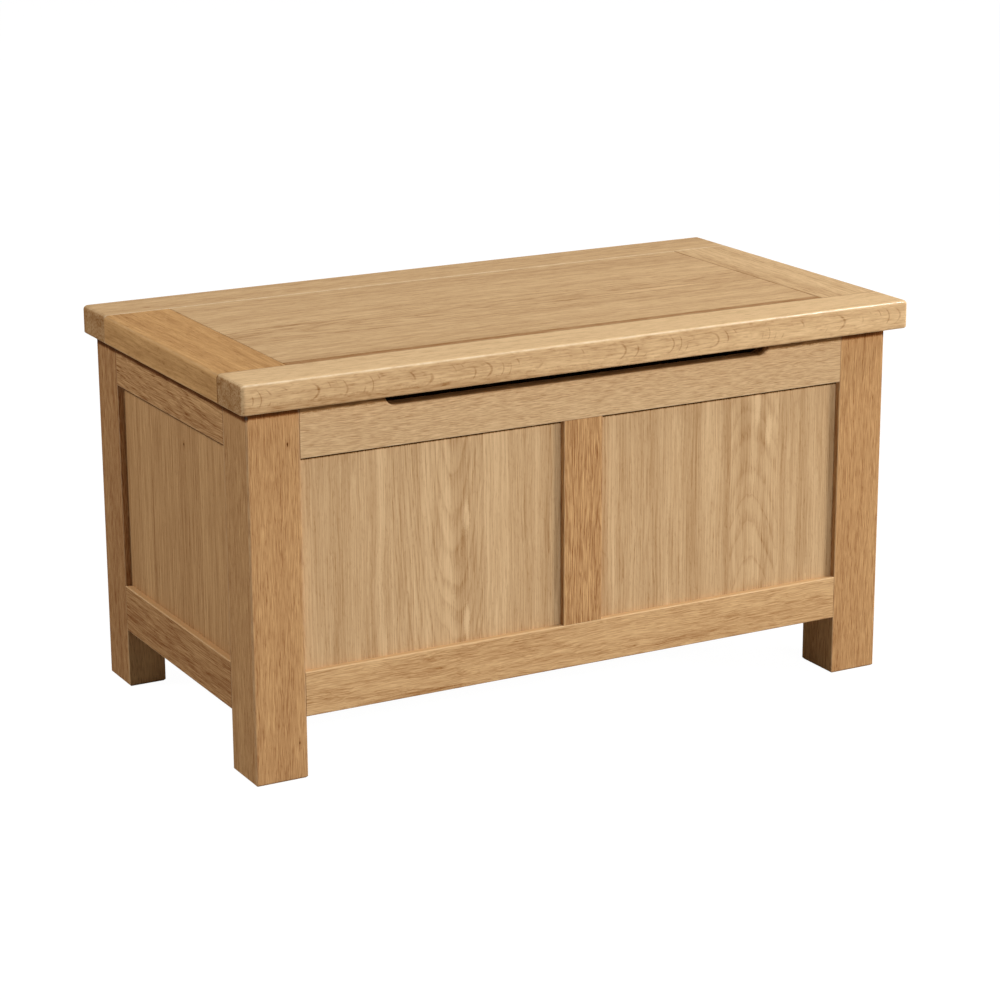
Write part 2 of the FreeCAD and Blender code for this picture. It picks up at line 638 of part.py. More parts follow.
def lid_board(label, front, back, tongue_front, tongue_back):
    """A board of the lid, with tongues where it meets the frame."""
    body = new_piece(label)
    under = "lid_top - board_thickness"
    section = [("-lid_end_inner", under), ("lid_end_inner", under),
               ("lid_end_inner", "lid_top - joint_vee"), ("lid_end_inner - joint_vee", "lid_top"),
               ("-lid_end_inner + joint_vee", "lid_top"), ("-lid_end_inner", "lid_top - joint_vee")]
    pad(body, "Board", "Y", (front, back), polygon, section)
    reach = "lid_end_inner + panel_grip"
    low = f"{front} - panel_grip" if tongue_front else front
    high = f"{back} + panel_grip" if tongue_back else back
    pad(body, "Tongues", "Y", (low, high), rectangle, f"-({reach})", reach, "tongue_low", "tongue_high")


lid_front_rail = lid_edge_rail("lid_front_rail", "lid_front", "lid_front_inner")
lid_back_rail = lid_edge_rail("lid_back_rail", "lid_back", "lid_back_inner")
lid_ends = {"-": lid_end_rail("lid_left_rail", "-"), "+": lid_end_rail("lid_right_rail", "+")}
joint_one = "lid_back_inner - board_one"
joint_two = f"{joint_one} - board_two"
joint_three = f"{joint_two} - board_three"
lid_board("lid_board_back", joint_one, "lid_back_inner", False, True)
lid_board("lid_board_second", joint_two, joint_one, False, False)
lid_board("lid_board_third", joint_three, joint_two, False, False)
lid_board("lid_board_front", "lid_front_inner", joint_three, True, False)

buffer_parts = []
for name, side in (("BufferLeft", "-"), ("BufferRight", "+")):
    disc = doc.addObject("Part::Prism", name)
    disc.Polygon = DISC_SIDES
    disc.setExpression("Circumradius", bound("buffer_radius"))
    disc.setExpression("Height", bound("lid_gap"))
    disc.setExpression("Placement.Base.x", bound(f"{side}(side_face - front_leg_width / 2)"))
    disc.setExpression("Placement.Base.y", bound("front_face + leg_depth / 2"))
    disc.setExpression("Placement.Base.z", bound("body_height"))
    buffer_parts.append(disc)
buffers = doc.addObject("Part::Compound", "LidBuffers")
buffers.Label = "lid_buffers"
buffers.Links = buffer_parts
PIECES.append(buffers)


# ---------------------------------------------------------------- butt hinges
hinge_screws = []


def hinge_leaf(label, leaf, middle, low, face):
    """A leaf with its knuckles rolled round the pin and notches for the other leaf's."""
    body = new_piece(label)
    half = "hinge_length / 2"
    ends = (f"{middle} - {half}", f"{middle} + {half}")
    pad(body, "Leaf", "Z", (low, face), rectangle, *ends, "leaf_edge", "pin_y")

    def knuckle_span(index):
        start = f"{ends[0]} + {index} * knuckle_pitch"
        return f"{start} + knuckle_gap / 2", f"{start} + knuckle_pitch - knuckle_gap / 2"

    for index, owner in enumerate(KNUCKLES):
        if owner == leaf:
            pad(body, f"Knuckle{index}", "X", knuckle_span(index), circle,
                "pin_y", "pin_z", "knuckle_radius")
        else:
            start = f"{ends[0]} + {index} * knuckle_pitch"
            first = f"{start} - knuckle_gap / 2"
            last = f"{start} + knuckle_pitch + knuckle_gap / 2"
            cut(body, f"Notch{index}", "Z", (low, face), rectangle, first, last,
                "pin_y - knuckle_radius - notch_gap", "pin_y")
    bore(body, "PinHole", "X", ends, [("pin_y", "pin_z")], "pin_radius + pin_fit")
    places = [(f"{middle} + {step} * hinge_screw_pitch", "pin_y - hinge_screw_line") for step in (-1, 0, 1)]
    screw_holes(body, "ScrewHoles", "Z", (low, face), places)
    countersink(body, "Z", face)
    return places


def hinge(name, middle):
    """A butt hinge let into the back top rail and the lid's back rail."""
    half = "hinge_length / 2"
    ends = (f"{middle} - {half}", f"{middle} + {half}")
    recess = (*ends, "leaf_edge")
    frame_places = hinge_leaf(f"{name}_hinge_frame_leaf", "frame", middle, "leaf_low", "leaf_face_low")
    lid_places = hinge_leaf(f"{name}_hinge_lid_leaf", "lid", middle, "leaf_high", "leaf_face_high")
    title = name.title()
    cut(top_rails["back"], title + "LeafRecess", "Z", ("leaf_low", "body_height"), rectangle,
        *recess, "back_face")
    screw_holes(top_rails["back"], title + "PilotHoles", "Z", ("leaf_face_low - short_screw", "leaf_low"),
                frame_places)
    cut(lid_back_rail, title + "LeafRecess", "Z", ("lid_under", "leaf_high"), rectangle,
        *recess, "lid_back")
    screw_holes(lid_back_rail, title + "PilotHoles", "Z", ("leaf_high", "leaf_face_high + short_screw"),
                lid_places)
    pin = new_piece(f"{name}_hinge_pin")
    pad(pin, "Shank", "X", ends, circle, "pin_y", "pin_z", "pin_radius")
    hinge_screws.extend(frame_places)


hinge("left", "-hinge_middle")
hinge("right", "hinge_middle")


# ---------------------------------------------------------------- folding lid stays
def stay_bar(label, layer, start, reach, side):
    """A flat bar of a stay, between two pivots in one layer."""
    body = new_piece(label)
    across, up = reach
    ends = ordered(layer_at(side, layer), layer_at(side, f"{layer} + stay_plate"))
    sketch = sketch_on(body, "BarSketch", "X", ends[0])
    length = f"sqrt(({across}) ^ 2 + ({up}) ^ 2)"
    bar_outline(sketch, length, "stay_half", "rivet_radius + pin_fit")
    sketch.setExpression("AttachmentOffset.Rotation.Angle", bound(f"atan2({up}; {across})"))
    sketch.setExpression("AttachmentOffset.Base.x", bound(start[0]))
    sketch.setExpression("AttachmentOffset.Base.y", bound(start[1]))
    feature = body.newObject("PartDesign::Pad", "Bar")
    feature.Profile = sketch
    feature.setExpression("Length", bound("stay_plate"))


def layer_at(side, depth):
    """A place that far in from the back leg's inner face."""
    return f"{side}(back_shoulder - ({depth}))"


def rivet(label, side, centre, tail, neck, head):
    """A rivet: a shank between two layers, a head past the inner one and one at its tail."""
    body = new_piece(label)
    pad(body, "Shank", "X", (layer_at(side, tail), layer_at(side, neck)), circle, *centre, "rivet_radius")
    outline = (many_sided, *centre, "rivet_head_radius", DISC_SIDES)
    pad(body, "Head", "X", (layer_at(side, neck), layer_at(side, f"{neck} + rivet_head")), *outline)
    if head:
        pad(body, "Tail", "X", (layer_at(side, f"{tail} - rivet_head"), layer_at(side, tail)), *outline)


def stay(name, side):
    """A stay that folds flat under the closed lid: two brackets, an arm and a link."""
    side_pivot = ("side_pivot_y", "side_pivot_z")
    lid_pivot = ("lid_pivot_y", "lid_pivot_z")
    knee = ("knee_y", "knee_z")

    plate = new_piece(f"{name}_stay_leg_bracket")
    layers = (layer_at(side, "0"), layer_at(side, "stay_plate"))
    pad(plate, "Plate", "X", layers, rectangle, "side_pivot_y - plate_half", "side_pivot_y + plate_half",
        "side_pivot_z - plate_below", "side_pivot_z + plate_above")
    dress(plate, "Fillet", "Corners", "plate_corner", lambda point, edge: near(edge.Length, "stay_plate"))
    bore(plate, "PivotHole", "X", layers, [side_pivot], "rivet_radius + pin_fit")
    first_screw = "side_pivot_z + plate_first_screw"
    plate_screws = [("side_pivot_y", first_screw), ("side_pivot_y", f"{first_screw} + plate_screw_pitch")]
    screw_holes(plate, "ScrewHoles", "X", layers, plate_screws)
    countersink(plate, "X", layers[1])
    screw_holes(legs[f"back_{name}"], "StayPilotHoles", "X",
                (layers[0], layer_at(side, "stay_plate - short_screw")), plate_screws)

    rivet(f"{name}_stay_leg_rivet", side, side_pivot, "0", "arm_layer + stay_plate + stay_gap", False)
    arm_reach = ("lid_pivot_y - pin_y", "lid_pivot_z - pin_z")
    stay_bar(f"{name}_stay_arm", "arm_layer", side_pivot, arm_reach, side)
    link_reach = ("pin_y - side_pivot_y", "pin_z - side_pivot_z")
    stay_bar(f"{name}_stay_link", "link_layer", knee, link_reach, side)
    rivet(f"{name}_stay_knee_rivet", side, knee, "arm_layer", "stay_inner", True)
    rivet(f"{name}_stay_lid_rivet", side, lid_pivot, "arm_layer", "stay_inner", True)

    ear = new_piece(f"{name}_stay_lid_bracket")
    ear_in, ear_out = layer_at(side, "arm_layer + stay_plate"), layer_at(side, "arm_layer")
    flange_end = layer_at(side, "arm_layer + stay_plate - lid_bracket_flange")
    low, under = "lid_pivot_z - lid_bracket_below", "lid_under - stay_plate"
    section = [(ear_in, low), (ear_in, "lid_under"), (flange_end, "lid_under"), (flange_end, under),
               (ear_out, under), (ear_out, low)]
    pad(ear, "Angle", "Y", ("lid_pivot_y - lid_bracket_half", "lid_pivot_y + lid_bracket_half"),
        polygon, section)
    dress(ear, "Fillet", "EarEnds", "lid_bracket_below",
          lambda point, edge: near(point.z, low) and near(edge.Length, "stay_plate"))
    bore(ear, "PivotHole", "X", (ear_out, ear_in), [lid_pivot], "rivet_radius + pin_fit")
    middle = layer_at(side, "arm_layer - (lid_bracket_flange - stay_plate) / 2")
    ear_screws = [(middle, "lid_pivot_y - lid_bracket_screw"), (middle, "lid_pivot_y + lid_bracket_screw")]
    screw_holes(ear, "ScrewHoles", "Z", (under, "lid_under"), ear_screws)
    countersink(ear, "Z", under)
    screw_holes(lid_ends[side], "StayPilotHoles", "Z", ("lid_under", f"{under} + short_screw"), ear_screws)
    return [(layers[1], *place) for place in plate_screws], [(*place, under) for place in ear_screws]


left_plate_screws, left_ear_screws = stay("left", "-")
right_plate_screws, right_ear_screws = stay("right", "+")


# ---------------------------------------------------------------- countersunk screws
def screw_pattern(name, length):
    """One screw along -Z with the top of its head at the origin."""
    body = doc.addObject("PartDesign::Body", name)
    outline = (many_sided, "0", "0", "screw_shank")
    pad(body, "Shank", "Z", (f"-{length}", "-sink"), *outline)
    dress(body, "Chamfer", "Point", "screw_point", lambda point, edge: near(point.z, f"-{length}"))
    head = pad(body, "Head", "Z", ("-sink", "0"), *outline)
    head.TaperAngle = 45
    return body


short_screw = screw_pattern("ShortScrew", "short_screw")
long_screw = screw_pattern("LongScrew", "long_screw")
X_AXIS, Y_AXIS = FreeCAD.Vector(1, 0, 0), FreeCAD.Vector(0, 1, 0)
POINTING = {
    "-Z": FreeCAD.Rotation(X_AXIS, 0), "+Z": FreeCAD.Rotation(X_AXIS, 180),
    "-Y": FreeCAD.Rotation(X_AXIS, -90), "+Y": FreeCAD.Rotation(X_AXIS, 90),
    "-X": FreeCAD.Rotation(Y_AXIS, 90), "+X": FreeCAD.Rotation(Y_AXIS, -90),
}


def screws(label, pattern, places):
    """A group of like screws, each a copy of a pattern screw that points one way."""
    title = "".join(word.title() for word in label.split("_"))
    copies = []
    for number, (direction, x, y, z) in enumerate(places):
        copy = doc.addObject("App::Link", f"{title}{number}")
        copy.LinkedObject = pattern
        copy.Placement = FreeCAD.Placement(FreeCAD.Vector(0, 0, 0), POINTING[direction])
        for axis, formula in zip("xyz", (x, y, z)):
            copy.setExpression(f"Placement.Base.{axis}", bound(formula))
        copies.append(copy)
    group = doc.addObject("Part::Compound", title)
    group.Label = label
    group.Links = copies
    PIECES.append(group)


screws("hinge_frame_screws", short_screw,
       [("-Z", across, along, "leaf_face_low") for across, along in hinge_screws])
screws("hinge_lid_screws", short_screw,
       [("+Z", across, along, "leaf_face_high") for across, along in hinge_screws])
screws("stay_leg_screws", short_screw,
       [("-X", *place) for place in left_plate_screws] + [("+X", *place) for place in right_plate_screws])
screws("stay_lid_screws", short_screw,
       [("+Z", *place) for place in left_ear_screws + right_ear_screws])
batten_places = []
for wall, place, inner, middle in screw_places:
    outward = {"+": "-", "-": "+"}[wall.inward]
    if wall.along == "X":
        batten_places.append((outward + "Y", place, inner, middle))
    else:
        batten_places.append((outward + "X", inner, place, middle))
screws("batten_screws", long_screw, batten_places)

# ---------------------------------------------------------------- check and write
doc.recompute()
for item in doc.Objects:
    if "Invalid" in item.State or "Error" in item.State:
        raise RuntimeError(f"{item.Name} ({item.Label}) failed: {item.State}")
for piece in PIECES:
    if piece.Shape.isNull() or not piece.Shape.isValid() or not piece.Shape.Solids:
        raise RuntimeError(f"{piece.Label} has no sound shape")
os.makedirs("parts", exist_ok=True)
for piece in PIECES:
    piece.Shape.exportStep(f"parts/{piece.Label}.step")
whole = Part.makeCompound([piece.Shape for piece in PIECES])
print(f"{len(PIECES)} pieces, {len(whole.Solids)} solids, box {whole.BoundBox}")
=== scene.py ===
"""Dresses an oak blanket chest: lacquered oak, brass hinges, steel stays and a studio."""

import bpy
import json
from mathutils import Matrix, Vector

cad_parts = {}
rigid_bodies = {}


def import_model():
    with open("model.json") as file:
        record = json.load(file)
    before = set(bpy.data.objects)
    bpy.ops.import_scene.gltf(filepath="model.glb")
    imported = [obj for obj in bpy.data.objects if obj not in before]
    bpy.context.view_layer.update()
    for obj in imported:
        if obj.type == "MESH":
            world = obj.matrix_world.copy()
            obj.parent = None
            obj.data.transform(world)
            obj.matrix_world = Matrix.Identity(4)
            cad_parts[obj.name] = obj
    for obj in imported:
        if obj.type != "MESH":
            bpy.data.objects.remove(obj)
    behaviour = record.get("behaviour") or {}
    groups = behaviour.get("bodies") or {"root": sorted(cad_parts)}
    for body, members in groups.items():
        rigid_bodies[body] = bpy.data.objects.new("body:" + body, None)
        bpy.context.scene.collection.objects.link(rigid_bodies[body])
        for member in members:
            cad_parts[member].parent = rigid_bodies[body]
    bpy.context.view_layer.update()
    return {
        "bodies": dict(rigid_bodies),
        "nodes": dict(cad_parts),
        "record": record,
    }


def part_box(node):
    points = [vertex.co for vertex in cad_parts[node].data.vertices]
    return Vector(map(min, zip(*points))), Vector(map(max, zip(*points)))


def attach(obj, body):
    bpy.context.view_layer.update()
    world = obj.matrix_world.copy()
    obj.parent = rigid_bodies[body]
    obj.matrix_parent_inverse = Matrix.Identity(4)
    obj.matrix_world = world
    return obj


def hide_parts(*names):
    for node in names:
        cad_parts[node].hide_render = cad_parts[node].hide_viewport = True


bl_info = {
    "name": "Oak Blanket Chest",
    "version": (1, 0, 0),
    "blender": (4, 5, 0),
    "location": "View3D > Sidebar > Chest",
    "description": "Finishes a framed oak blanket chest and sets it in a studio",
    "category": "Object",
}

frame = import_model()

import json
import math
from typing import NamedTuple

import bmesh
import bpy
from bpy.props import FloatProperty, FloatVectorProperty, PointerProperty
from mathutils import Matrix, Vector


# ---------------------------------------------------------------- colours and settings
def srgb(red, green, blue):
    """A colour picked as 0 to 255 on screen, as the linear numbers that shaders take."""
    def linear(level):
        share = level / 255
        return share / 12.92 if share <= 0.04045 else ((share + 0.055) / 1.055) ** 2.4
    return tuple(linear(level) for level in (red, green, blue))


def colour(name, description, red, green, blue):
    """A colour that a user can change, picked as 0 to 255."""
    return FloatVectorProperty(name=name, description=description, subtype="COLOR", size=3,
                               min=0, max=1, default=srgb(red, green, blue))


def length(name, description, metres):
    """A length that a user can change."""
    return FloatProperty(name=name, description=description, subtype="DISTANCE", unit="LENGTH",
                         min=0, default=metres)


def share(name, description, amount):
    """A share from 0 to 1 that a user can change."""
    return FloatProperty(name=name, description=description, subtype="FACTOR", min=0, max=1,
                         default=amount)


def power(name, description, watts):
    """A lamp's power that a user can change."""
    return FloatProperty(name=name, description=description, unit="POWER", min=0, default=watts)


class OakSettings(bpy.types.PropertyGroup):
    """Colours and figure of the lacquered oak."""
    leg_pale: colour("Leg Pale", "Pale wood of the legs and mullions", 206, 163, 113)
    leg_dark: colour("Leg Dark", "Dark grain of the legs and mullions", 128, 78, 40)
    rail_pale: colour("Rail Pale", "Pale wood of the rails", 217, 179, 131)
    rail_dark: colour("Rail Dark", "Dark grain of the rails", 150, 104, 60)
    panel_pale: colour("Panel Pale", "Pale wood of the panels", 214, 181, 139)
    panel_dark: colour("Panel Dark", "Dark grain of the panels", 152, 112, 70)
    # The side panels' colours are darker and warmer than the front panels', partly as painted shade for
    # the chest's shaded left side
    side_pale: colour("Side Pale", "Pale wood of the side panels", 206, 163, 114)
    side_dark: colour("Side Dark", "Dark grain of the side panels", 138, 93, 53)
    lid_pale: colour("Lid Pale", "Pale wood of the lid", 219, 185, 140)
    lid_dark: colour("Lid Dark", "Dark grain of the lid", 146, 103, 61)
    lid_end_pale: colour("Lid End Pale", "Pale wood of the lid's left end rail", 214, 168, 112)
    lid_end_dark: colour("Lid End Dark", "Dark grain of the lid's left end rail", 134, 88, 46)
    # Pale edges: real wear, and also a painted highlight along the lid's front top edge, the lid's back
    # rail and the front left leg's corners
    wear_and_highlight: colour("Worn Edge", "Wood where an edge is rubbed pale", 250, 232, 198)
    # Painted shade: the darkest colour, which the wood reaches under the lid, under the rails and in
    # the finger recess
    painted_shade: colour("Joint Shade", "Darkest wood, in the joints and under the lid", 44, 24, 10)
    ring_width: length("Ring Width", "Width of one year's growth", 0.0045)
    lacquer: share("Lacquer Roughness", "Roughness of the satin lacquer", 0.5)


class BoardSettings(bpy.types.PropertyGroup):
    """Colours of the plain boards inside."""
    ply_pale: colour("Plywood Pale", "Pale wood of the bottom board", 222, 196, 158)
    ply_dark: colour("Plywood Dark", "Dark grain of the bottom board", 180, 142, 98)
    ply_ring: length("Plywood Ring Width", "Width of the peeled figure", 0.011)
    ply_roughness: share("Plywood Roughness", "Roughness of the sanded bottom board", 0.6)
    batten_pale: colour("Batten Pale", "Pale wood of the battens", 226, 196, 146)
    batten_dark: colour("Batten Dark", "Dark grain of the battens", 190, 140, 84)
    batten_ring: length("Batten Ring Width", "Width of one year's growth in the battens", 0.0036)
    batten_roughness: share("Batten Roughness", "Roughness of the planed battens", 0.65)


class MetalSettings(bpy.types.PropertyGroup):
    """Colours and sizes of the hinges, stays, screws and buffers."""
    brass: colour("Brass", "Hinges", 206, 176, 116)
    brass_tarnish: colour("Brass Tarnish", "Dull patches on the hinges", 178, 142, 82)
    steel: colour("Steel", "Stays and their brackets", 176, 176, 172)
    steel_dull: colour("Steel Dull", "Dull patches on the stays", 128, 127, 122)
    zinc: colour("Zinc", "Screws", 196, 190, 172)
    zinc_dull: colour("Zinc Dull", "Dull patches on the screws", 140, 130, 104)
    buffer: colour("Buffer", "Soft pads under the lid", 196, 192, 184)
    buffer_dust: colour("Buffer Dust", "Dust on the soft pads", 150, 142, 128)
    recess_reach: length("Recess Reach", "Middle of a screw to the tip of its cross recess", 0.0021)
    recess_slot: length("Recess Slot", "Width of each slot of the cross recess", 0.0009)
    recess_depth: length("Recess Depth", "Depth of the cross recess", 0.0013)
    shank: length("Shank", "Radius of a screw under its head", 0.0017)
    thread_pitch: length("Thread Pitch", "From one turn of a screw's thread to the next", 0.0014)
    thread_depth: length("Thread Depth", "How far a screw's thread stands out", 0.0004)
    rivet_shank: length("Rivet Shank", "Radius of a rivet in the bars", 0.003)
    rivet_head: length("Rivet Head", "Height of a rivet's domed head", 0.0012)


class StudioSettings(bpy.types.PropertyGroup):
    """Camera, lamps and floor."""
    lens: FloatProperty(name="Lens", description="Focal length in millimetres", min=1, default=102.792)
    floor: colour("Floor", "Pale floor", 232, 231, 229)
    floor_bounce: colour("Floor Bounce", "Floor as the chest is lit by it", 180, 177, 173)
    floor_size: length("Floor Size", "Side of the square floor", 30.0)
    key_power: power("Key Power", "Watts of the lamp in front on the right", 392)
    front_power: power("Front Power", "Watts of the lamp straight in front", 262)
    fill_power: power("Fill Power", "Watts of the lamp on the left", 127)
    top_power: power("Top Power", "Watts of the large lamp overhead", 10)
    edge_power: power("Edge Power", "Watts of the small lamp above the lid's front edge", 20)
    ambient: FloatProperty(name="Ambient", description="Light from all round", min=0, default=0.17)


class ChestSettings(bpy.types.PropertyGroup):
    """All that a user may change about the chest."""
    oak: PointerProperty(type=OakSettings, name="Oak", description="Lacquered oak")
    boards: PointerProperty(type=BoardSettings, name="Boards", description="Plain boards inside")
    metal: PointerProperty(type=MetalSettings, name="Metal", description="Metalwork and buffers")
    studio: PointerProperty(type=StudioSettings, name="Studio", description="Camera, lamps and floor")


def settings():
    """What the user has set for the chest in this scene."""
    return bpy.context.scene.chest


# ---------------------------------------------------------------- drawing node trees
class Pen:
    """Adds shader nodes to a tree and joins them up."""

    def __init__(self, tree):
        self.tree = tree

    def add(self, kind, **options):
        """A new shader node, with its options set."""
        node = self.tree.nodes.new("ShaderNode" + kind)
        for option, choice in options.items():
            setattr(node, option, choice)
        return node

    def feed(self, socket, source):
        """Joins a socket to another, or sets its number."""
        if isinstance(source, bpy.types.NodeSocket):
            self.tree.links.new(source, socket)
        elif source is not None:
            socket.default_value = source

    def maths(self, operation, *values, clamp=False):
        """One step of arithmetic."""
        node = self.add("Math", operation=operation, use_clamp=clamp)
        for socket, source in zip(node.inputs, values):
            self.feed(socket, source)
        return node.outputs[0]

    def total(self, *values, clamp=False):
        """The sum of several numbers."""
        result = values[0]
        for index, source in enumerate(values[1:], 2):
            result = self.maths("ADD", result, source, clamp=clamp and index == len(values))
        return result

    def times(self, *values):
        """The product of several numbers."""
        result = values[0]
        for source in values[1:]:
            result = self.maths("MULTIPLY", result, source)
        return result

    def rest(self, source):
        """What is left of one."""
        return self.maths("SUBTRACT", 1, source)

    def vector(self, operation, *values):
        """One step of vector arithmetic."""
        node = self.add("VectorMath", operation=operation)
        for socket, source in zip(node.inputs, values):
            self.feed(socket, source)
        return node.outputs[1 if operation in ("LENGTH", "DOT_PRODUCT") else 0]

    def split(self, source):
        """The X, Y and Z of a vector."""
        node = self.add("SeparateXYZ")
        self.feed(node.inputs[0], source)
        return node.outputs

    def join(self, *values):
        """A vector from its X, Y and Z."""
        node = self.add("CombineXYZ")
        for socket, source in zip(node.inputs, values):
            self.feed(socket, source)
        return node.outputs[0]

    def noise(self, place, detail=2.0, roughness=0.5, scale=1.0):
        """Smooth noise, as a number from 0 to 1 and as a colour."""
        node = self.add("TexNoise")
        for title, source in (("Vector", place), ("Scale", scale), ("Detail", detail),
                              ("Roughness", roughness)):
            self.feed(node.inputs[title], source)
        return node.outputs

    def rise(self, source, low, high):
        """0 below low, 1 above high and a smooth rise between."""
        node = self.add("MapRange", interpolation_type="SMOOTHSTEP")
        for title, number in (("Value", source), ("From Min", low), ("From Max", high)):
            self.feed(node.inputs[title], number)
        return node.outputs["Result"]

    def spread(self, source, low, high):
        """Stretches 0 to 1 over low to high."""
        node = self.add("MapRange")
        for title, number in (("Value", source), ("To Min", low), ("To Max", high)):
            self.feed(node.inputs[title], number)
        return node.outputs["Result"]

    def blend(self, factor, under, over):
        """Mixes two colours."""
        node = self.add("Mix", data_type="RGBA")
        for title, source in (("Factor_Float", factor), ("A_Color", under), ("B_Color", over)):
            socket = next(s for s in node.inputs if s.identifier == title)
            if not isinstance(source, (bpy.types.NodeSocket, float)):
                source = (*source, 1)
            self.feed(socket, source)
        return next(s for s in node.outputs if s.identifier == "Result_Color")

    def group(self, tree, **values):
        """Places a node group. Underscores in the names of its inputs stand for spaces."""
        node = self.add("Group", node_tree=tree)
        for title, source in values.items():
            self.feed(node.inputs[title.replace("_", " ")], source)
        return node.outputs


def new_group(name, inputs, outputs):
    """An empty node group: its tree, a pen, its inputs and its outputs."""
    tree = bpy.data.node_groups.new(name, "ShaderNodeTree")
    for title, kind, number in inputs:
        socket = tree.interface.new_socket(title, in_out="INPUT", socket_type="NodeSocket" + kind)
        if number is not None:
            socket.default_value = number
    for title, kind in outputs:
        tree.interface.new_socket(title, in_out="OUTPUT", socket_type="NodeSocket" + kind)
    start = tree.nodes.new("NodeGroupInput")
    end = tree.nodes.new("NodeGroupOutput")
    return tree, Pen(tree), start.outputs, end.inputs


def find(tree, kind):
    """The node of a kind that Blender puts in a new tree."""
    return next(node for node in tree.nodes if node.type == kind)


def oak_grain_group():
    """Growth rings round a heart, with fibres, pores and rays. X runs along the grain."""
    tree, pen, take, give = new_group("Oak Grain", [
        ("Position", "Vector", None), ("Heart", "Vector", (0, 0, 0.05)),
        ("Drift Across", "Float", 0.0), ("Drift Deep", "Float", 0.03),
        ("Ring Width", "Float", 0.0045), ("Waver", "Float", 0.004), ("Dashes", "Float", 12.0),
        ("Fineness", "Float", 850.0), ("Seed", "Float", 0.0),
    ], [("Rings", "Float"), ("Fibre", "Float"), ("Pores", "Float"), ("Rays", "Float"),
        ("Cloud", "Float")])
    seed = pen.join(take["Seed"], take["Seed"], take["Seed"])

    def streaks(source, along, across, detail):
        """Noise drawn out along the grain, by how much of it fits in a metre along and across."""
        place = pen.vector("MULTIPLY", source, pen.join(along, across, across))
        return pen.noise(pen.vector("ADD", place, seed), detail, roughness=0.55)

    # The rings wander sideways a little, and their heart drifts as the trunk leans.
    wander = pen.vector("SUBTRACT", streaks(take["Position"], 7, 26, 3)["Color"], (0.5, 0.5, 0.5))
    reach = pen.times(take["Waver"], 2)
    sideways = pen.vector("MULTIPLY", wander, pen.join(0, reach, reach))
    moved = pen.vector("ADD", take["Position"], sideways)
    along = pen.split(take["Position"])["X"]
    drift = pen.join(0, pen.times(along, take["Drift Across"]), pen.times(along, take["Drift Deep"]))
    parts = pen.split(pen.vector("SUBTRACT", pen.vector("SUBTRACT", moved, take["Heart"]), drift))
    radius = pen.vector("LENGTH", pen.join(0, parts["Y"], parts["Z"]))

    # Years are unevenly wide, some are darker than others, and each is darkest where it starts.
    uneven = pen.noise(pen.join(pen.times(radius, 60), take["Seed"], 0), 1)["Fac"]
    count = pen.total(pen.maths("DIVIDE", radius, take["Ring Width"]), pen.times(uneven, 2.4))
    within = pen.maths("FRACT", count)
    vigour = pen.add("TexWhiteNoise", noise_dimensions="1D")
    pen.feed(vigour.inputs["W"], pen.maths("FLOOR", count))
    early = pen.maths("MAXIMUM", pen.rest(pen.rise(within, 0.0, 0.55)), pen.rise(within, 0.8, 1.0))

    # Fibres are long dashes, which also break up the rings.
    dashes = streaks(moved, take["Dashes"], take["Fineness"], 2)["Fac"]
    broken = pen.spread(pen.rise(dashes, 0.35, 0.65), 0.45, 1.0)
    pen.feed(give["Rings"], pen.times(early, broken, pen.spread(vigour.outputs["Value"], 0.3, 1.0)))
    pen.feed(give["Fibre"], dashes)

    # Pores are short specks, most of them in the dark of a ring, and rays are slanting flecks.
    specks = pen.rise(streaks(moved, 95, 1500, 1)["Fac"], 0.55, 0.72)
    pen.feed(give["Pores"], pen.times(specks, pen.spread(early, 0.35, 1.0)))
    slant = pen.total(along, pen.times(parts["Y"], 0.7), pen.times(parts["Z"], 0.7))
    flecks = pen.join(pen.times(slant, 130), pen.times(parts["Y"], 330), pen.times(parts["Z"], 330))
    pen.feed(give["Rays"], pen.rise(pen.noise(pen.vector("ADD", flecks, seed), 1)["Fac"], 0.6, 0.72))
    pen.feed(give["Cloud"], streaks(moved, 1.6, 55, 2)["Fac"])
    return tree


def stain_group():
    """How dark, rough and raised the wood is where its grain lies."""
    tree, pen, take, give = new_group("Wood Stain", [
        ("Rings", "Float", 0.0), ("Fibre", "Float", 0.5), ("Pores", "Float", 0.0),
        ("Rays", "Float", 0.0), ("Cloud", "Float", 0.5), ("End Grain", "Float", 0.0),
        ("Tone", "Float", 0.3), ("Rings Strength", "Float", 0.3), ("Fibre Strength", "Float", 0.5),
        ("Pores Strength", "Float", 0.3), ("Rays Strength", "Float", 0.15),
        ("Cloud Strength", "Float", 0.3), ("End Grain Strength", "Float", 0.4),
        ("Roughness", "Float", 0.42),
    ], [("Darkness", "Float"), ("Shade", "Float"), ("Roughness", "Float"), ("Height", "Float")])

    def centred(title):
        """A part of the grain that darkens and pales alike."""
        return pen.times(pen.maths("SUBTRACT", take[title], 0.5), take[title + " Strength"])

    def weighed(title):
        """A part of the grain that only darkens."""
        return pen.times(take[title], take[title + " Strength"])

    darkness = pen.total(take["Tone"], weighed("Rings"), weighed("Pores"), weighed("Rays"),
                         weighed("End Grain"), centred("Fibre"), centred("Cloud"))
    pen.feed(give["Darkness"], pen.maths("ADD", darkness, 0, clamp=True))
    # Shade is darkness past one, which the spots of painted shade reach
    pen.feed(give["Shade"], pen.maths("SUBTRACT", darkness, 1, clamp=True))

    # Open pores and end grain are rougher, and pores and rings lie a little deeper.
    pen.feed(give["Roughness"], pen.total(
        take["Roughness"], pen.times(take["Pores"], 0.18), pen.times(take["End Grain"], 0.15),
        pen.times(pen.maths("SUBTRACT", take["Fibre"], 0.5), 0.12)))
    sunk = pen.total(pen.times(take["Pores"], 0.7), pen.times(take["Rings"], 0.25))
    pen.feed(give["Height"], pen.maths("SUBTRACT", take["Fibre"], sunk))
    return tree


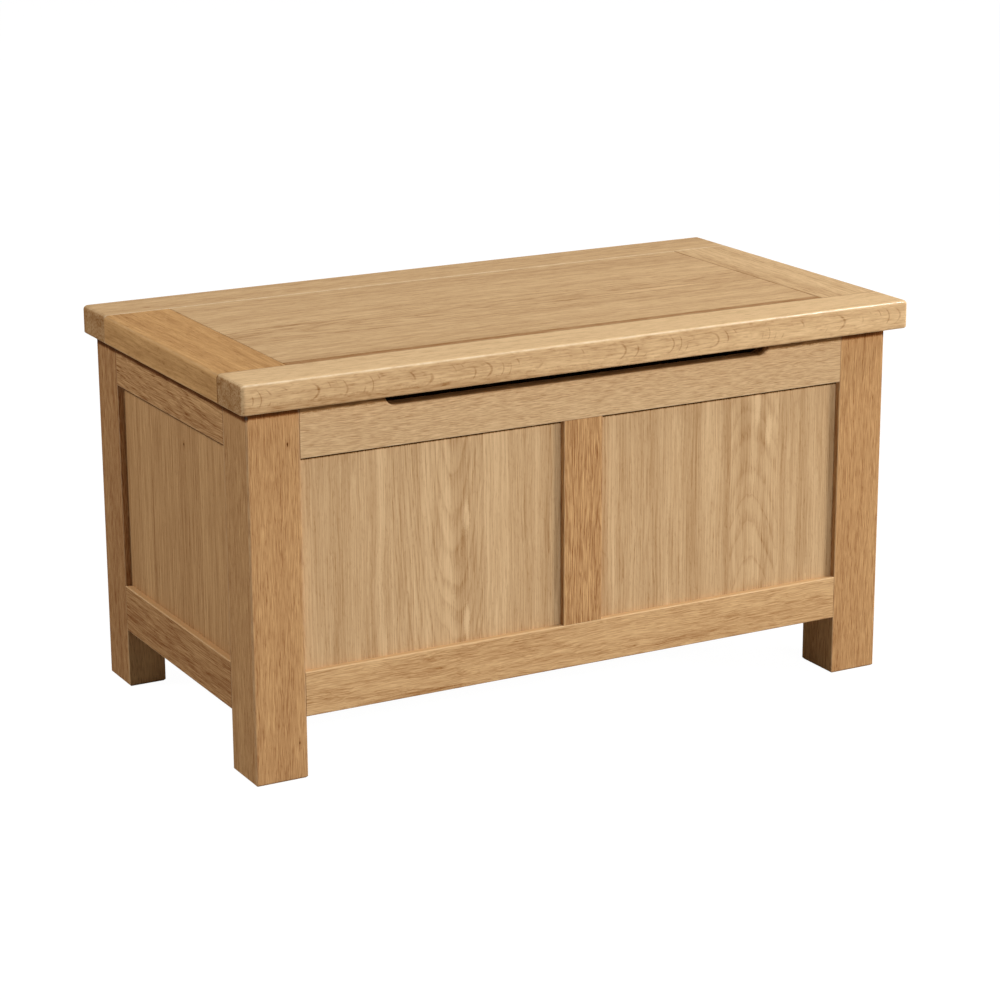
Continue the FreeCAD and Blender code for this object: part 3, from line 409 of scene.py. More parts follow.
def edge_group():
    """Where a surface lies near an edge of its piece's box, broken up as by handling."""
    tree, pen, take, give = new_group("Edge Wear", [
        ("Position", "Vector", None), ("Low", "Vector", (0, 0, 0)), ("High", "Vector", (1, 1, 1)),
        ("Width", "Float", 0.0015), ("Breaking", "Float", 0.5),
    ], [("Edge", "Float")])
    near = pen.split(pen.vector("MINIMUM", pen.vector("SUBTRACT", take["Position"], take["Low"]),
                                pen.vector("SUBTRACT", take["High"], take["Position"])))

    # An edge is near where two faces are, so the middle one of three distances tells.
    least = pen.maths("MINIMUM", near["X"], near["Y"])
    most = pen.maths("MAXIMUM", near["X"], near["Y"])
    middle = pen.maths("MAXIMUM", least, pen.maths("MINIMUM", most, near["Z"]))
    edge = pen.rest(pen.rise(pen.maths("DIVIDE", middle, take["Width"]), 0.0, 1.0))
    patches = pen.noise(take["Position"], detail=3, roughness=0.6, scale=70)["Fac"]
    kept = pen.rest(pen.times(pen.rise(patches, 0.35, 0.62), take["Breaking"]))
    pen.feed(give["Edge"], pen.times(edge, kept))
    return tree


def seam_group():
    """Fine lines where a piece meets its neighbours: along each side, and across both ends."""
    tree, pen, take, give = new_group("Seam Lines", [
        ("Position", "Vector", None), ("Low", "Vector", (0, 0, 0)), ("High", "Vector", (1, 1, 1)),
        ("Width", "Float", 0.0011),
    ], [("Low Side", "Float"), ("High Side", "Float"), ("Ends", "Float")])
    low = pen.split(pen.vector("SUBTRACT", take["Position"], take["Low"]))
    high = pen.split(pen.vector("SUBTRACT", take["High"], take["Position"]))

    def line(distance):
        """1 beside a side of the box, and 0 a line's width away from it."""
        return pen.rest(pen.rise(pen.maths("DIVIDE", distance, take["Width"]), 0.4, 1.0))

    pen.feed(give["Low Side"], line(low["Y"]))
    pen.feed(give["High Side"], line(high["Y"]))
    pen.feed(give["Ends"], line(pen.maths("MINIMUM", low["X"], high["X"])))
    return tree


def arcs_group():
    """Short bowed marks where rays meet the narrow face of a board."""
    tree, pen, take, give = new_group("Ray Arcs", [
        ("Position", "Vector", None), ("Middle", "Float", 0.0), ("Spacing", "Float", 0.015),
    ], [("Arcs", "Float")])
    place = pen.split(take["Position"])
    height = pen.maths("SUBTRACT", place["Z"], take["Middle"])

    # The marks bow with the square of the height, and are unevenly spaced along the board.
    bowed = pen.total(place["X"], pen.times(height, height, 70))
    uneven = pen.noise(pen.vector("MULTIPLY", take["Position"], (24, 24, 9)), 0)["Fac"]
    count = pen.total(pen.maths("DIVIDE", bowed, take["Spacing"]), pen.times(uneven, 3))
    away = pen.maths("ABSOLUTE", pen.maths("SUBTRACT", pen.maths("FRACT", count), 0.5))

    # They stop short of the board's edges, and come in patches.
    within = pen.rest(pen.rise(pen.maths("ABSOLUTE", height), 0.006, 0.011))
    patches = pen.rise(pen.noise(take["Position"], detail=1, scale=34)["Fac"], 0.47, 0.56)
    pen.feed(give["Arcs"], pen.times(pen.rest(pen.rise(away, 0.03, 0.11)), within, patches))
    return tree


def spot_group():
    """A knot, streak or shaded edge: a ragged heart in a soft shadow."""
    tree, pen, take, give = new_group("Spot", [
        ("Position", "Vector", None), ("Centre", "Vector", (0, 0, 0)),
        ("Reach", "Vector", (0.003, 0.003, 0.003)), ("Heart", "Float", 1.0), ("Shadow", "Float", 0.3),
    ], [("Spot", "Float")])
    away = pen.vector("SUBTRACT", take["Position"], take["Centre"])
    ragged = pen.spread(pen.noise(take["Position"], detail=2, scale=600)["Fac"], 0.6, 1.4)
    reach = pen.times(pen.vector("LENGTH", pen.vector("DIVIDE", away, take["Reach"])), ragged)
    heart = pen.times(pen.rest(pen.rise(reach, 0.3, 1.0)), take["Heart"])
    shadow = pen.times(pen.rest(pen.rise(reach, 0.5, 4.0)), take["Shadow"])
    pen.feed(give["Spot"], pen.total(heart, shadow))
    return tree


def patina_group():
    """Dull patches and fine rubbed lines on metal. X runs along the rubbing."""
    tree, pen, take, give = new_group("Metal Patina", [
        ("Position", "Vector", None), ("Patch Size", "Float", 0.012), ("Rubbing", "Float", 0.4),
        ("Roughness", "Float", 0.3),
    ], [("Dullness", "Float"), ("Roughness", "Float"), ("Height", "Float")])
    size = pen.join(take["Patch Size"], take["Patch Size"], take["Patch Size"])
    patches = pen.noise(pen.vector("DIVIDE", take["Position"], size), detail=4, roughness=0.6)
    lines = pen.noise(pen.vector("MULTIPLY", take["Position"], (60, 2600, 2600)), 2)["Fac"]
    dull = pen.rise(patches["Fac"], 0.42, 0.68)
    pen.feed(give["Dullness"], dull)
    rubbed = pen.times(pen.maths("SUBTRACT", lines, 0.5), take["Rubbing"])
    pen.feed(give["Roughness"], pen.total(take["Roughness"], pen.times(dull, 0.18), rubbed))
    pen.feed(give["Height"], lines)
    return tree


GROUPS = {}
GROUP_MAKERS = {"grain": oak_grain_group, "stain": stain_group, "edge": edge_group, "seam": seam_group,
                "arcs": arcs_group, "spot": spot_group, "patina": patina_group}


def shared(name):
    """A shared node group, built when it is first wanted."""
    if name not in GROUPS:
        GROUPS[name] = GROUP_MAKERS[name]()
    return GROUPS[name]


# ---------------------------------------------------------------- materials
def new_material(name, **plain):
    """A material, its pen, its coordinates and its shader's inputs. Plain numbers are set on those."""
    material = bpy.data.materials.new(name)
    material.use_nodes = True
    pen = Pen(material.node_tree)
    shader = find(material.node_tree, "BSDF_PRINCIPLED")
    for title, number in plain.items():
        shader.inputs[title.replace("_", " ")].default_value = number
    place = pen.add("TexCoord").outputs
    return material, pen, place, shader.inputs


def raised(pen, shader, height, depth):
    """Bumps the shader's normal by a height."""
    bump = pen.add("Bump")
    bump.inputs["Distance"].default_value = depth
    bump.inputs["Strength"].default_value = 1
    pen.feed(bump.inputs["Height"], height)
    pen.feed(shader["Normal"], bump.outputs["Normal"])


class Strip(NamedTuple):
    """One board of a glued-up panel, from the panel's low edge on."""
    width: float      # a share of the panel, in any unit that all its boards use
    tone: float
    heart: float      # across the panel, from 0 at its low edge to 1 at its high one
    deep: float       # how far the heart lies behind the face, in metres
    drift: float      # how fast the heart nears the face along the grain
    rings: float


class Spot(NamedTuple):
    """A knot, a streak, or a patch of painted shade or painted light, with its middle and its half size
    along each axis.
    """
    centre: tuple
    reach: tuple
    heart: float
    shadow: float = 0.0


class Wood(NamedTuple):
    """How a piece was sawn: where the heart lies from its middle, and how strong its grain is."""
    grain: str                        # the axes along the grain, across the face and into it
    across: float = 0.0               # metres from the middle to the heart, across the face
    deep: float = 0.0                 # the same, into the wood
    drift: tuple = (0.0, 0.03)        # how fast the heart moves across and into it along the grain
    tone: float = 0.3                 # from 0, pale, to 1, dark
    rings: float = 0.3
    fibre: float = 0.9
    pores: float = 0.3
    rays: float = 0.1
    cloud: float = 0.6
    waver: float = 0.004
    dashes: float = 12.0              # how many fit in a metre of grain
    fineness: float = 850.0           # how many fit in a metre across it
    ends: float = 0.4                 # how much darker the end grain is
    arcs: float = 0.0
    strips: tuple = ()
    spots: tuple = ()
    seams: tuple = (0.0, 0.0, 0.4)    # low side, high side, both ends
    seam_width: float = 0.0011
    edge: float = 0.002
    # how far the edges pale, as wear and, where set high, as a painted highlight
    rubbed: float = 0.12
    polish: float = 1.0               # how glossy a rubbed edge is
    joints: tuple = ((1, 0, 0), (1, 0, 0))    # low and high sides with no edge of their own


SEED_STEP = 7.31          # from one piece's noise to the next one's
STRIP_SEED = 37           # from one strip's noise to the next one's
MOST_STRIPS = 10
HEART_SPAN = 3            # panel widths, from one below its low edge, that hold all strips' hearts
LARGEST_DRIFT = 0.4       # metres to a metre of grain
DEEPEST_HEART = 0.2       # metres
SHEEN = 0.003             # satin lacquer hardly mirrors the lamps
WORN_GLOSS = 0.15         # roughness of a rubbed edge's polish
GRAIN_DEPTH = 0.00005     # metres
SCRATCH_DEPTH = 0.00001


def turned(pen, source, grain):
    """A vector as seen by the wood: along its grain, across its face and into it."""
    parts = pen.split(source)
    return pen.join(*[parts[axis] for axis in grain])


def turned_numbers(corner, grain):
    """A corner's numbers in the same order."""
    return Vector([corner["XYZ".index(axis)] for axis in grain])


def strip_ramp(pen, where, strips, pick):
    """A step for each board of a panel, by where the surface lies across it."""
    ramp = pen.add("ValToRGB")
    ramp.color_ramp.interpolation = "CONSTANT"
    stops = ramp.color_ramp.elements
    whole = sum(strip.width for strip in strips)
    start = 0.0
    for index, strip in enumerate(strips):
        stop = stops[index] if index < 2 else stops.new(start / whole)
        stop.position = start / whole
        stop.color = (*pick(index, strip), 1)
        start += strip.width
    pen.feed(ramp.inputs["Fac"], where)
    return pen.split(ramp.outputs["Color"])


def strip_figure(pen, position, wood, low, high, seed):
    """The tone, rings, heart, drift and seed of a glued-up panel, which change from strip to strip."""
    width, middle = high.y - low.y, (low + high) / 2
    where = pen.maths("DIVIDE", pen.maths("SUBTRACT", pen.split(position)["Y"], low.y), width)
    first = strip_ramp(pen, where, wood.strips, lambda index, strip: (
        strip.tone, strip.heart / HEART_SPAN + 1 / HEART_SPAN, strip.deep / DEEPEST_HEART))
    second = strip_ramp(pen, where, wood.strips, lambda index, strip: (
        index / MOST_STRIPS, 0.5 + strip.drift / LARGEST_DRIFT / 2, strip.rings))
    across = pen.spread(first["Y"], low.y - width, high.y + width)
    heart = pen.join(0, across, pen.spread(first["Z"], middle.z, middle.z + DEEPEST_HEART))
    seed = pen.total(pen.times(second["X"], MOST_STRIPS * STRIP_SEED), seed)
    drift = pen.spread(second["Y"], -LARGEST_DRIFT, LARGEST_DRIFT)
    return first["X"], second["Z"], heart, drift, seed


def marked(pen, position, wood, low, high, tone):
    """A tone with the piece's spots, ray marks and seams added; some spots are painted shade or painted
    light, and some seams painted highlights.
    """
    for spot in wood.spots:
        mark = pen.group(shared("spot"), Position=position, Heart=spot.heart, Shadow=spot.shadow,
                         Centre=turned_numbers(spot.centre, wood.grain),
                         Reach=turned_numbers(spot.reach, wood.grain))
        tone = pen.total(mark["Spot"], tone)
    if wood.arcs:
        middle = (low + high) / 2
        arcs = pen.group(shared("arcs"), Position=position, Middle=middle.z)["Arcs"]
        tone = pen.total(pen.times(arcs, wood.arcs), tone)
    if any(wood.seams):
        seam = pen.group(shared("seam"), Position=position, Low=low, High=high, Width=wood.seam_width)
        for title, strength in zip(("Low Side", "High Side", "Ends"), wood.seams):
            if strength:
                tone = pen.total(pen.times(seam[title], strength), tone)
    return tone


def wood_material(node, wood, pale, dark, ring_width, roughness, seed):
    """Wood of one piece, sawn as its row says."""
    oak = settings().oak
    low, high = (turned_numbers(corner, wood.grain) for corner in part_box(node))
    material, pen, place, shader = new_material("wood_" + node, Specular_IOR_Level=SHEEN,
                                                Coat_Roughness=WORN_GLOSS)
    position = turned(pen, place["Object"], wood.grain)
    facing = pen.split(turned(pen, place["Normal"], wood.grain))["X"]
    middle = (low + high) / 2
    tone, rings, drift_deep = wood.tone, wood.rings, wood.drift[1]
    heart = (0, middle.y + wood.across, middle.z + wood.deep)
    if wood.strips:
        tone, rings, heart, drift_deep, seed = strip_figure(pen, position, wood, low, high, seed)
    grain = pen.group(shared("grain"), Position=position, Heart=heart, Drift_Across=wood.drift[0],
                      Drift_Deep=drift_deep, Ring_Width=ring_width, Waver=wood.waver,
                      Dashes=wood.dashes, Fineness=wood.fineness, Seed=seed)
    tone = marked(pen, position, wood, low, high, tone)
    stain = pen.group(shared("stain"), Rings=grain["Rings"], Fibre=grain["Fibre"],
                      Pores=grain["Pores"], Rays=grain["Rays"], Cloud=grain["Cloud"],
                      End_Grain=pen.rise(pen.maths("ABSOLUTE", facing), 0.6, 0.9),
                      Tone=tone, Rings_Strength=rings, Fibre_Strength=wood.fibre,
                      Pores_Strength=wood.pores, Rays_Strength=wood.rays, Cloud_Strength=wood.cloud,
                      End_Grain_Strength=wood.ends, Roughness=roughness)
    edge = pen.group(shared("edge"), Position=position, Low=low - Vector(wood.joints[0]),
                     High=high + Vector(wood.joints[1]), Width=wood.edge)["Edge"]
    # Darkness past one blends towards the painted shade colour, for the shade under the lid and rails
    # and in the finger recess
    base = pen.blend(stain["Shade"], pen.blend(stain["Darkness"], pale, dark), oak.painted_shade)
    # Edges pale as wear and, on some pieces, as a painted highlight
    wear_and_highlight = pen.times(edge, wood.rubbed)
    pen.feed(shader["Base Color"], pen.blend(wear_and_highlight, base, oak.wear_and_highlight))
    pen.feed(shader["Coat Weight"], pen.times(wear_and_highlight, wood.polish))
    pen.feed(shader["Roughness"], stain["Roughness"])
    raised(pen, shader, stain["Height"], GRAIN_DEPTH)
    return material


def metal_material(name, bright, dull, roughness, rubbing, grain="XYZ"):
    """Metal with dull patches, rubbed along the first axis of its grain."""
    material, pen, place, shader = new_material(name, Metallic=1.0)
    position = turned(pen, place["Object"], grain)
    patina = pen.group(shared("patina"), Position=position, Rubbing=rubbing, Roughness=roughness)
    pen.feed(shader["Base Color"], pen.blend(patina["Dullness"], bright, dull))
    pen.feed(shader["Roughness"], patina["Roughness"])
    raised(pen, shader, patina["Height"], SCRATCH_DEPTH)
    return material


def wear(node, material):
    """Gives a CAD piece a material."""
    mesh = frame["nodes"][node].data
    mesh.materials.clear()
    mesh.materials.append(material)


# ---------------------------------------------------------------- how each piece was sawn
def face(node, axis, end):
    """Where a piece's box ends on an axis: end 0 is its low side and end 1 its high side."""
    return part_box(node)[end]["XYZ".index(axis)]


# Where the chest's faces lie, in metres.
FRONT = face("front_left_leg", "Y", 0)
LEFT = face("front_left_leg", "X", 0)
RIGHT = face("front_right_leg", "X", 1)
PANEL_FRONT = face("front_left_panel", "Y", 0)
PANEL_LEFT = face("left_panel", "X", 0)
LID_TOP = face("lid_board_third", "Z", 1)
FAR = 4                   # metres, past both ends of any piece

# Painted shade under the lid and the rails, and in the finger recess.
UNDER_LID_FRONT = Spot((0, FRONT, 0.4150), (FAR, 0.004, 0.0048), 0.9)
UNDER_LID_LEFT = Spot((LEFT, 0, 0.4125), (0.004, FAR, 0.0046), 0.8)
UNDER_LID_RIGHT = Spot((RIGHT, 0, 0.4125), (0.004, FAR, 0.0046), 0.8)
UNDER_FRONT_RAIL = Spot((0, PANEL_FRONT, 0.3600), (FAR, 0.004, 0.0027), 1.6)
UNDER_LEFT_RAIL = Spot((PANEL_LEFT, 0, 0.3665), (0.004, FAR, 0.0020), 1.0)
FINGER_SHADE = Spot((0, -0.1960, 0.4065), (FAR, 0.0115, 0.0110), 1.2)

# Knots, dark streaks and, where the heart is below zero, pale patches. The pale foot patch is painted
# light, and the lid's edge rows are painted shade.
UPPER_KNOT = Spot((-0.3621, FRONT, 0.3795), (0.0012, 0.0012, 0.0028), 1.2, 0.2)
LOWER_KNOT = Spot((-0.3565, FRONT, 0.0422), (0.0010, 0.0010, 0.0024), 1.0, 0.2)
SIDE_KNOT = Spot((PANEL_LEFT, -0.016, 0.3407), (0.0016, 0.0016, 0.0022), 1.2, 0.2)
# Painted light on the front-facing side of the back left foot, which lies in shade under the chest
PAINTED_LIGHT_FOOT = Spot((-0.386, 0.1628, 0.03), (0.2, 0.004, 0.06), -0.35)
BOTTOM_RAIL_STREAKS = (Spot((0.14, FRONT, 0.082), (0.064, 0.004, 0.004), 0.3),
                       Spot((-0.22, FRONT, 0.074), (0.088, 0.004, 0.004), 0.35))
LEFT_PANEL_STREAKS = (Spot((-0.1450, PANEL_FRONT, 0.267), (0.005, 0.005, 0.025), -0.5),
                      Spot((-0.1454, PANEL_FRONT, 0.145), (0.005, 0.005, 0.030), -0.5),
                      Spot((-0.2450, PANEL_FRONT, 0.200), (0.010, 0.010, 0.080), 0.2))
RIGHT_PANEL_STREAKS = (Spot((0.2380, PANEL_FRONT, 0.345), (0.006, 0.006, 0.030), -0.5),
                       Spot((0.2540, PANEL_FRONT, 0.315), (0.005, 0.005, 0.025), -0.5),
                       Spot((0.1210, PANEL_FRONT, 0.190), (0.006, 0.006, 0.066), 0.25))
# Painted shade on the front face of the lid's front rail, deeper along its lower edge, mostly on the
# left
LID_EDGE_SHADE = (Spot((0, -0.2330, 0.4400), (FAR, 0.0028, 0.4), 0.24),
                    Spot((-0.26, -0.2325, 0.4265), (0.4, 0.004, 0.008), 0.35))
LID_TOP_STREAKS = (Spot((-0.25, 0.004, LID_TOP), (0.084, 0.006, 0.006), 0.3),
                   Spot((0.2, -0.03, LID_TOP), (0.108, 0.006, 0.006), -0.3))

# The boards of each glued-up panel, with their widths in millimetres.
FRONT_LEFT_STRIPS = (
    Strip(118.8, 0.30, -0.9, 0.01, 0.0, 0.06), Strip(112, 0.26, 0.575, 0.06, -0.125, 0.32),
    Strip(75, 0.34, 2.0, 0.01, 0.0, 0.12), Strip(33.5, 0.28, 1.9, 0.15, 0.1, 0.2),
)
FRONT_RIGHT_STRIPS = (
    Strip(91.5, 0.36, -0.9, 0.01, 0.0, 0.16), Strip(94, 0.40, -0.6, 0.03, 0.0, 0.1),
    Strip(64, 0.34, 0.63, 0.05, 0.13, 0.32), Strip(89.8, 0.38, 1.9, 0.01, 0.0, 0.08),
)
SIDE_STRIPS = (
    Strip(95, 0.30, 2.0, 0.01, 0.0, 0.1), Strip(80, 0.36, -0.8, 0.02, 0.0, 0.16),
    Strip(70, 0.26, 1.9, 0.1, 0.05, 0.2), Strip(81, 0.32, -0.6, 0.0, 0.0, 0.1),
)
BACK_STRIPS = (
    Strip(84, 0.34, -0.3, 0.1, 0.05, 0.2), Strip(100, 0.28, 0.4, 0.05, 0.11, 0.34),
    Strip(92, 0.34, 1.9, 0.02, 0.0, 0.12), Strip(79, 0.3, 0.9, 0.06, -0.12, 0.3),
)
# The lid's front board is much darker over its front 18 millimetres, along the joint with the front
# rail
LID_FRONT_STRIPS = (Strip(18, 0.78, 2.0, 0.02, 0.0, 0.1), Strip(85.7, 0.34, 1.9, 0.02, 0.0, 0.1))

# What the pieces of one kind have in common.
LEG = Wood("ZXY", ends=0.15, seams=())
MULLION = Wood("ZXY", waver=0.005, dashes=24)
SIDE_RAIL = Wood("YZX")
# The bottom side rails' top side is painted pale as a highlight on the ledge below the panel
LOW_SIDE_RAIL = Wood("YZX", seams=(0, -1, 0.4), seam_width=0.0016)
FRONT_PANEL = Wood("ZXY", fibre=1.1, cloud=1.2, dashes=9, seams=())
BACK_PANEL = Wood("ZXY", fibre=1.3, cloud=0.9, dashes=16, strips=BACK_STRIPS, seams=())
SIDE_PANEL = Wood("ZYX", fibre=1.2, cloud=0.9, seams=())
LID_BOARD = Wood("XYZ", fibre=0.85, waver=0.002, dashes=34, fineness=430, joints=((1, 1, 0), (1, 1, 0)))
LID_END_RAIL = Wood("YXZ", fineness=380)
BATTEN = Wood("XYZ", 0.02, 0.03, (0.02, 0.01), 0.2, 0.5, 0.3, pores=0.0, rays=0.0, cloud=0.3)


def sawn(kind, across, deep, drift, tone, rings, fibre, **more):
    """A piece of a kind, with its own heart, tone, rings and fibre, and what else sets it apart."""
    return kind._replace(across=across, deep=deep, drift=drift, tone=tone, rings=rings, fibre=fibre,
                         **more)


LEGS = {
    # The front left leg's wider pale edges are partly a painted highlight on its rounded corners
    "front_left_leg": sawn(
        LEG, 0.05, 0.13, (0.01, 0.01), 0.36, 0.06, 1.55, cloud=0.4, dashes=36, fineness=1200,
        edge=0.0035, spots=(UPPER_KNOT, LOWER_KNOT, UNDER_LID_FRONT, UNDER_LID_LEFT)),
    "front_right_leg": sawn(
        LEG, -0.06, 0.11, (0.03, 0.015), 0.36, 0.12, 1.65, cloud=0.4, waver=0.005, dashes=36,
        fineness=1200, spots=(UNDER_LID_FRONT, UNDER_LID_RIGHT)),
    "back_left_leg": sawn(
        LEG, 0.11, 0.04, (0.01, 0.0), 0.5, 0.1, 1.7, dashes=55, fineness=1200,
        spots=(UNDER_LID_LEFT, PAINTED_LIGHT_FOOT)),
    "back_right_leg": sawn(
        LEG, -0.1, -0.05, (0.01, 0.02), 0.34, 0.1, 1.4, dashes=50, spots=(UNDER_LID_RIGHT,)),
    "front_mullion": sawn(
        MULLION, 0.004, 0.04, (0.01, -0.05), 0.36, 0.12, 2.4, cloud=0.3, fineness=950),
    "back_mullion": sawn(
        MULLION, -0.006, -0.04, (0.0, 0.06), 0.34, 0.16, 1.9, fineness=700),
}
TOP_RAIL = {
    "front_top_rail": Wood(
        "XZY", -0.03, 0.09, (0.01, 0.0), 0.3, 0.06, 1.8, cloud=0.3, waver=0.005, dashes=60,
        fineness=1300, spots=(FINGER_SHADE, UNDER_LID_FRONT)),
}
RAILS = {
    # The front bottom rail's top side is painted pale as a highlight on its ledge, and its lower side
    # is darker
    "front_bottom_rail": Wood(
        "XZY", 0.012, 0.04, (0.02, -0.03), 0.32, 0.26, 1.6, waver=0.006, dashes=38, fineness=1200,
        seams=(0.5, -1, 0.4), seam_width=0.0016, spots=BOTTOM_RAIL_STREAKS),
    "back_top_rail": Wood("XZY", 0.02, -0.09, (0.01, 0.01), 0.32, 0.16, 1.2, dashes=45),
    "back_bottom_rail": Wood("XZY", 0.0, -0.05, (0.0, 0.03), 0.32, 0.2, 1.2, dashes=40),
}
SIDE_RAILS = {
    "left_top_rail": sawn(
        SIDE_RAIL, 0.03, 0.07, (0.16, 0.02), 0.4, 0.34, 1.7, waver=0.006, dashes=24,
        spots=(UNDER_LID_LEFT,)),
    "left_bottom_rail": sawn(LOW_SIDE_RAIL, 0.02, 0.06, (0.05, 0.03), 0.52, 0.18, 1.6, dashes=26),
    "right_top_rail": sawn(
        SIDE_RAIL, 0.03, -0.07, (0.1, 0.02), 0.36, 0.3, 1.6, dashes=34, spots=(UNDER_LID_RIGHT,)),
    "right_bottom_rail": sawn(LOW_SIDE_RAIL, 0.02, -0.05, (0.05, 0.03), 0.4, 0.3, 1.6, dashes=34),
}
PANELS = {
    "front_left_panel": FRONT_PANEL._replace(
        strips=FRONT_LEFT_STRIPS, spots=(*LEFT_PANEL_STREAKS, UNDER_FRONT_RAIL)),
    "front_right_panel": FRONT_PANEL._replace(
        strips=FRONT_RIGHT_STRIPS, spots=(*RIGHT_PANEL_STREAKS, UNDER_FRONT_RAIL)),
    "back_left_panel": BACK_PANEL,
    "back_right_panel": BACK_PANEL._replace(strips=BACK_STRIPS[::-1]),
}
SIDE_PANELS = {
    "left_panel": SIDE_PANEL._replace(
        dashes=12, fineness=500, strips=SIDE_STRIPS, spots=(SIDE_KNOT, UNDER_LEFT_RAIL)),
    "right_panel": SIDE_PANEL._replace(dashes=16, fineness=420, strips=SIDE_STRIPS[::-1]),
}
LID = {
    # The lid's front rail: its pale top front edge is a painted highlight, its pale tone partly stands
    # for the light on its top, and its edge spots paint shade on its front face and lower edge
    "lid_front_rail": Wood(
        "XYZ", 0.03, -0.06, (0.0, 0.01), 0.02, 0.08, 1.0, rays=0.15, dashes=50, fineness=560,
        ends=0.7, arcs=0.34, seams=(0, 0.5, 0), seam_width=0.003, edge=0.0035, rubbed=1.0,
        joints=((1, 0, 1), (0, 1, 0)), spots=LID_EDGE_SHADE),
    # The lid's back rail: its pale front top edge, along the joint with the boards, is a painted
    # highlight
    "lid_back_rail": sawn(
        LID_BOARD, -0.03, -0.07, (0.01, 0.0), 0.34, 0.12, 0.9, seams=(), edge=0.004, rubbed=0.75,
        polish=0.1, joints=((1, 0, 0), (1, 1, 0))),
    "lid_board_back": sawn(LID_BOARD, 0.03, -0.06, (0.02, 0.03), 0.36, 0.12, 0.85, seams=()),
    "lid_board_second": sawn(LID_BOARD, -0.02, -0.07, (0.02, 0.02), 0.3, 0.1, 0.85),
    "lid_board_third": sawn(
        LID_BOARD, 0.004, -0.03, (0.03, 0.05), 0.34, 0.3, 0.85, waver=0.006, spots=LID_TOP_STREAKS),
    "lid_board_front": LID_BOARD._replace(
        strips=LID_FRONT_STRIPS, seams=(0.5, 0, 0.5), seam_width=0.003),
    "lid_right_rail": sawn(
        LID_END_RAIL, -0.04, -0.05, (0.0, 0.02), 0.22, 0.2, 0.8, dashes=40, seams=(0.4, 0, 0.2),
        seam_width=0.002, joints=((1, 1, 0), (1, 0, 0))),
}
LID_LEFT_END = {
    "lid_left_rail": sawn(
        LID_END_RAIL, 0.01, -0.06, (0.03, 0.03), 0.36, 0.12, 0.7, cloud=0.8, dashes=30,
        seams=(0, 0.9, 0.3), edge=0.0035, joints=((1, 0, 0), (1, 1, 0))),
}
BOTTOM = {
    "bottom_board": Wood(
        "XYZ", 0.02, 0.16, (0.0, 0.02), 0.25, 0.3, 0.5, pores=0.1, rays=0.0, cloud=0.5, waver=0.03),
}
BATTENS = {
    "front_batten": BATTEN,
    "back_batten": BATTEN,
    "left_batten": BATTEN._replace(grain="YXZ"),
    "right_batten": BATTEN._replace(grain="YXZ"),
}


def saw(rows, pale, dark, ring_width, roughness, first_seed):
    """Gives each piece of a table its own wood."""
    for number, (node, wood) in enumerate(rows.items()):
        seed = (first_seed + number) * SEED_STEP
        wear(node, wood_material(node, wood, pale, dark, ring_width, roughness, seed))


def saw_oak(rows, pale, dark, first_seed):
    """Gives each piece of a table its own lacquered oak."""
    oak = settings().oak
    saw(rows, pale, dark, oak.ring_width, oak.lacquer, first_seed)


# ---------------------------------------------------------------- turned pieces
class Peg(NamedTuple):
    """Where a round solid of a CAD piece lies, with its wide end first."""
    start: Vector
    axis: Vector
    length: float
    radius: float


WELD = 0.00001            # metres; corners closer than this are one
SCREW_SIDES = 24
ROUND_SIDES = 32
DOME_STEPS = 8
HEAD_RIM = 0.1            # the straight rim of a screw's head, as a share of its cone
PLAIN_SHANK = 0.4         # the share of a screw's length that has no thread
THREAD_RISE = 0.35        # from a thread's root to its crest, as a share of its pitch
RECESS_TAPER = 0.45       # the width of a recess's bottom, as a share of its mouth
RIVET_DOME = 0.8          # the domed share of a rivet head's height
PAD_CROWN = 0.96          # the domed share of a soft pad's radius
PAD_DOME = 0.6            # the domed share of its height
PAD_WALL = 0.75           # how far down its straight wall starts, as a share of its height
GOLDEN_TURN = math.radians(137.5)         # so that no two neighbours are turned alike
SHARP = math.radians(38)


def islands(node):
    """The corners of each separate solid of a CAD piece."""
    mesh = bmesh.new()
    mesh.from_mesh(frame["nodes"][node].data)
    bmesh.ops.remove_doubles(mesh, verts=mesh.verts, dist=WELD)
    seen, found = set(), []
    for first in mesh.verts:
        if first in seen:
            continue
        seen.add(first)
        solid = [first]
        for vertex in solid:
            fresh = [edge.other_vert(vertex) for edge in vertex.link_edges]
            fresh = [other for other in fresh if other not in seen]
            seen.update(fresh)
            solid.extend(fresh)
        found.append([vertex.co.copy() for vertex in solid])
    mesh.free()
    return found


def peg_of(corners):
    """A peg from its corners: its axis is the one whose extent differs from the other two."""
    low = Vector([min(corner[axis] for corner in corners) for axis in range(3)])
    high = Vector([max(corner[axis] for corner in corners) for axis in range(3)])
    extent, middle = high - low, (high + low) / 2
    axis = max(range(3), key=lambda i: abs(3 * extent[i] - sum(extent)))
    others = [i for i in range(3) if i != axis]

    def widest(end):
        """The radius of the solid at one of its ends."""
        ring = [corner for corner in corners if abs(corner[axis] - end) < WELD]
        return max(math.hypot(*[corner[i] - middle[i] for i in others]) for corner in ring)

    head, tip = (high, low) if widest(high[axis]) >= widest(low[axis]) else (low, high)
    start, direction = middle.copy(), Vector((0, 0, 0))
    start[axis] = head[axis]
    direction[axis] = math.copysign(1, tip[axis] - head[axis])
    return Peg(start, direction, extent[axis], max(extent[i] for i in others) / 2)


def spin(mesh, profile, sides):
    """Turns a profile of radii and depths about Z."""
    corners = [mesh.verts.new((radius, 0, -depth)) for radius, depth in profile]
    edges = [mesh.edges.new(pair) for pair in zip(corners, corners[1:])]
    bmesh.ops.spin(mesh, geom=corners + edges, cent=(0, 0, 0), axis=(0, 0, 1), dvec=(0, 0, 0),
                   angle=math.tau, steps=sides, use_merge=True)
    bmesh.ops.remove_doubles(mesh, verts=mesh.verts, dist=WELD / 10)


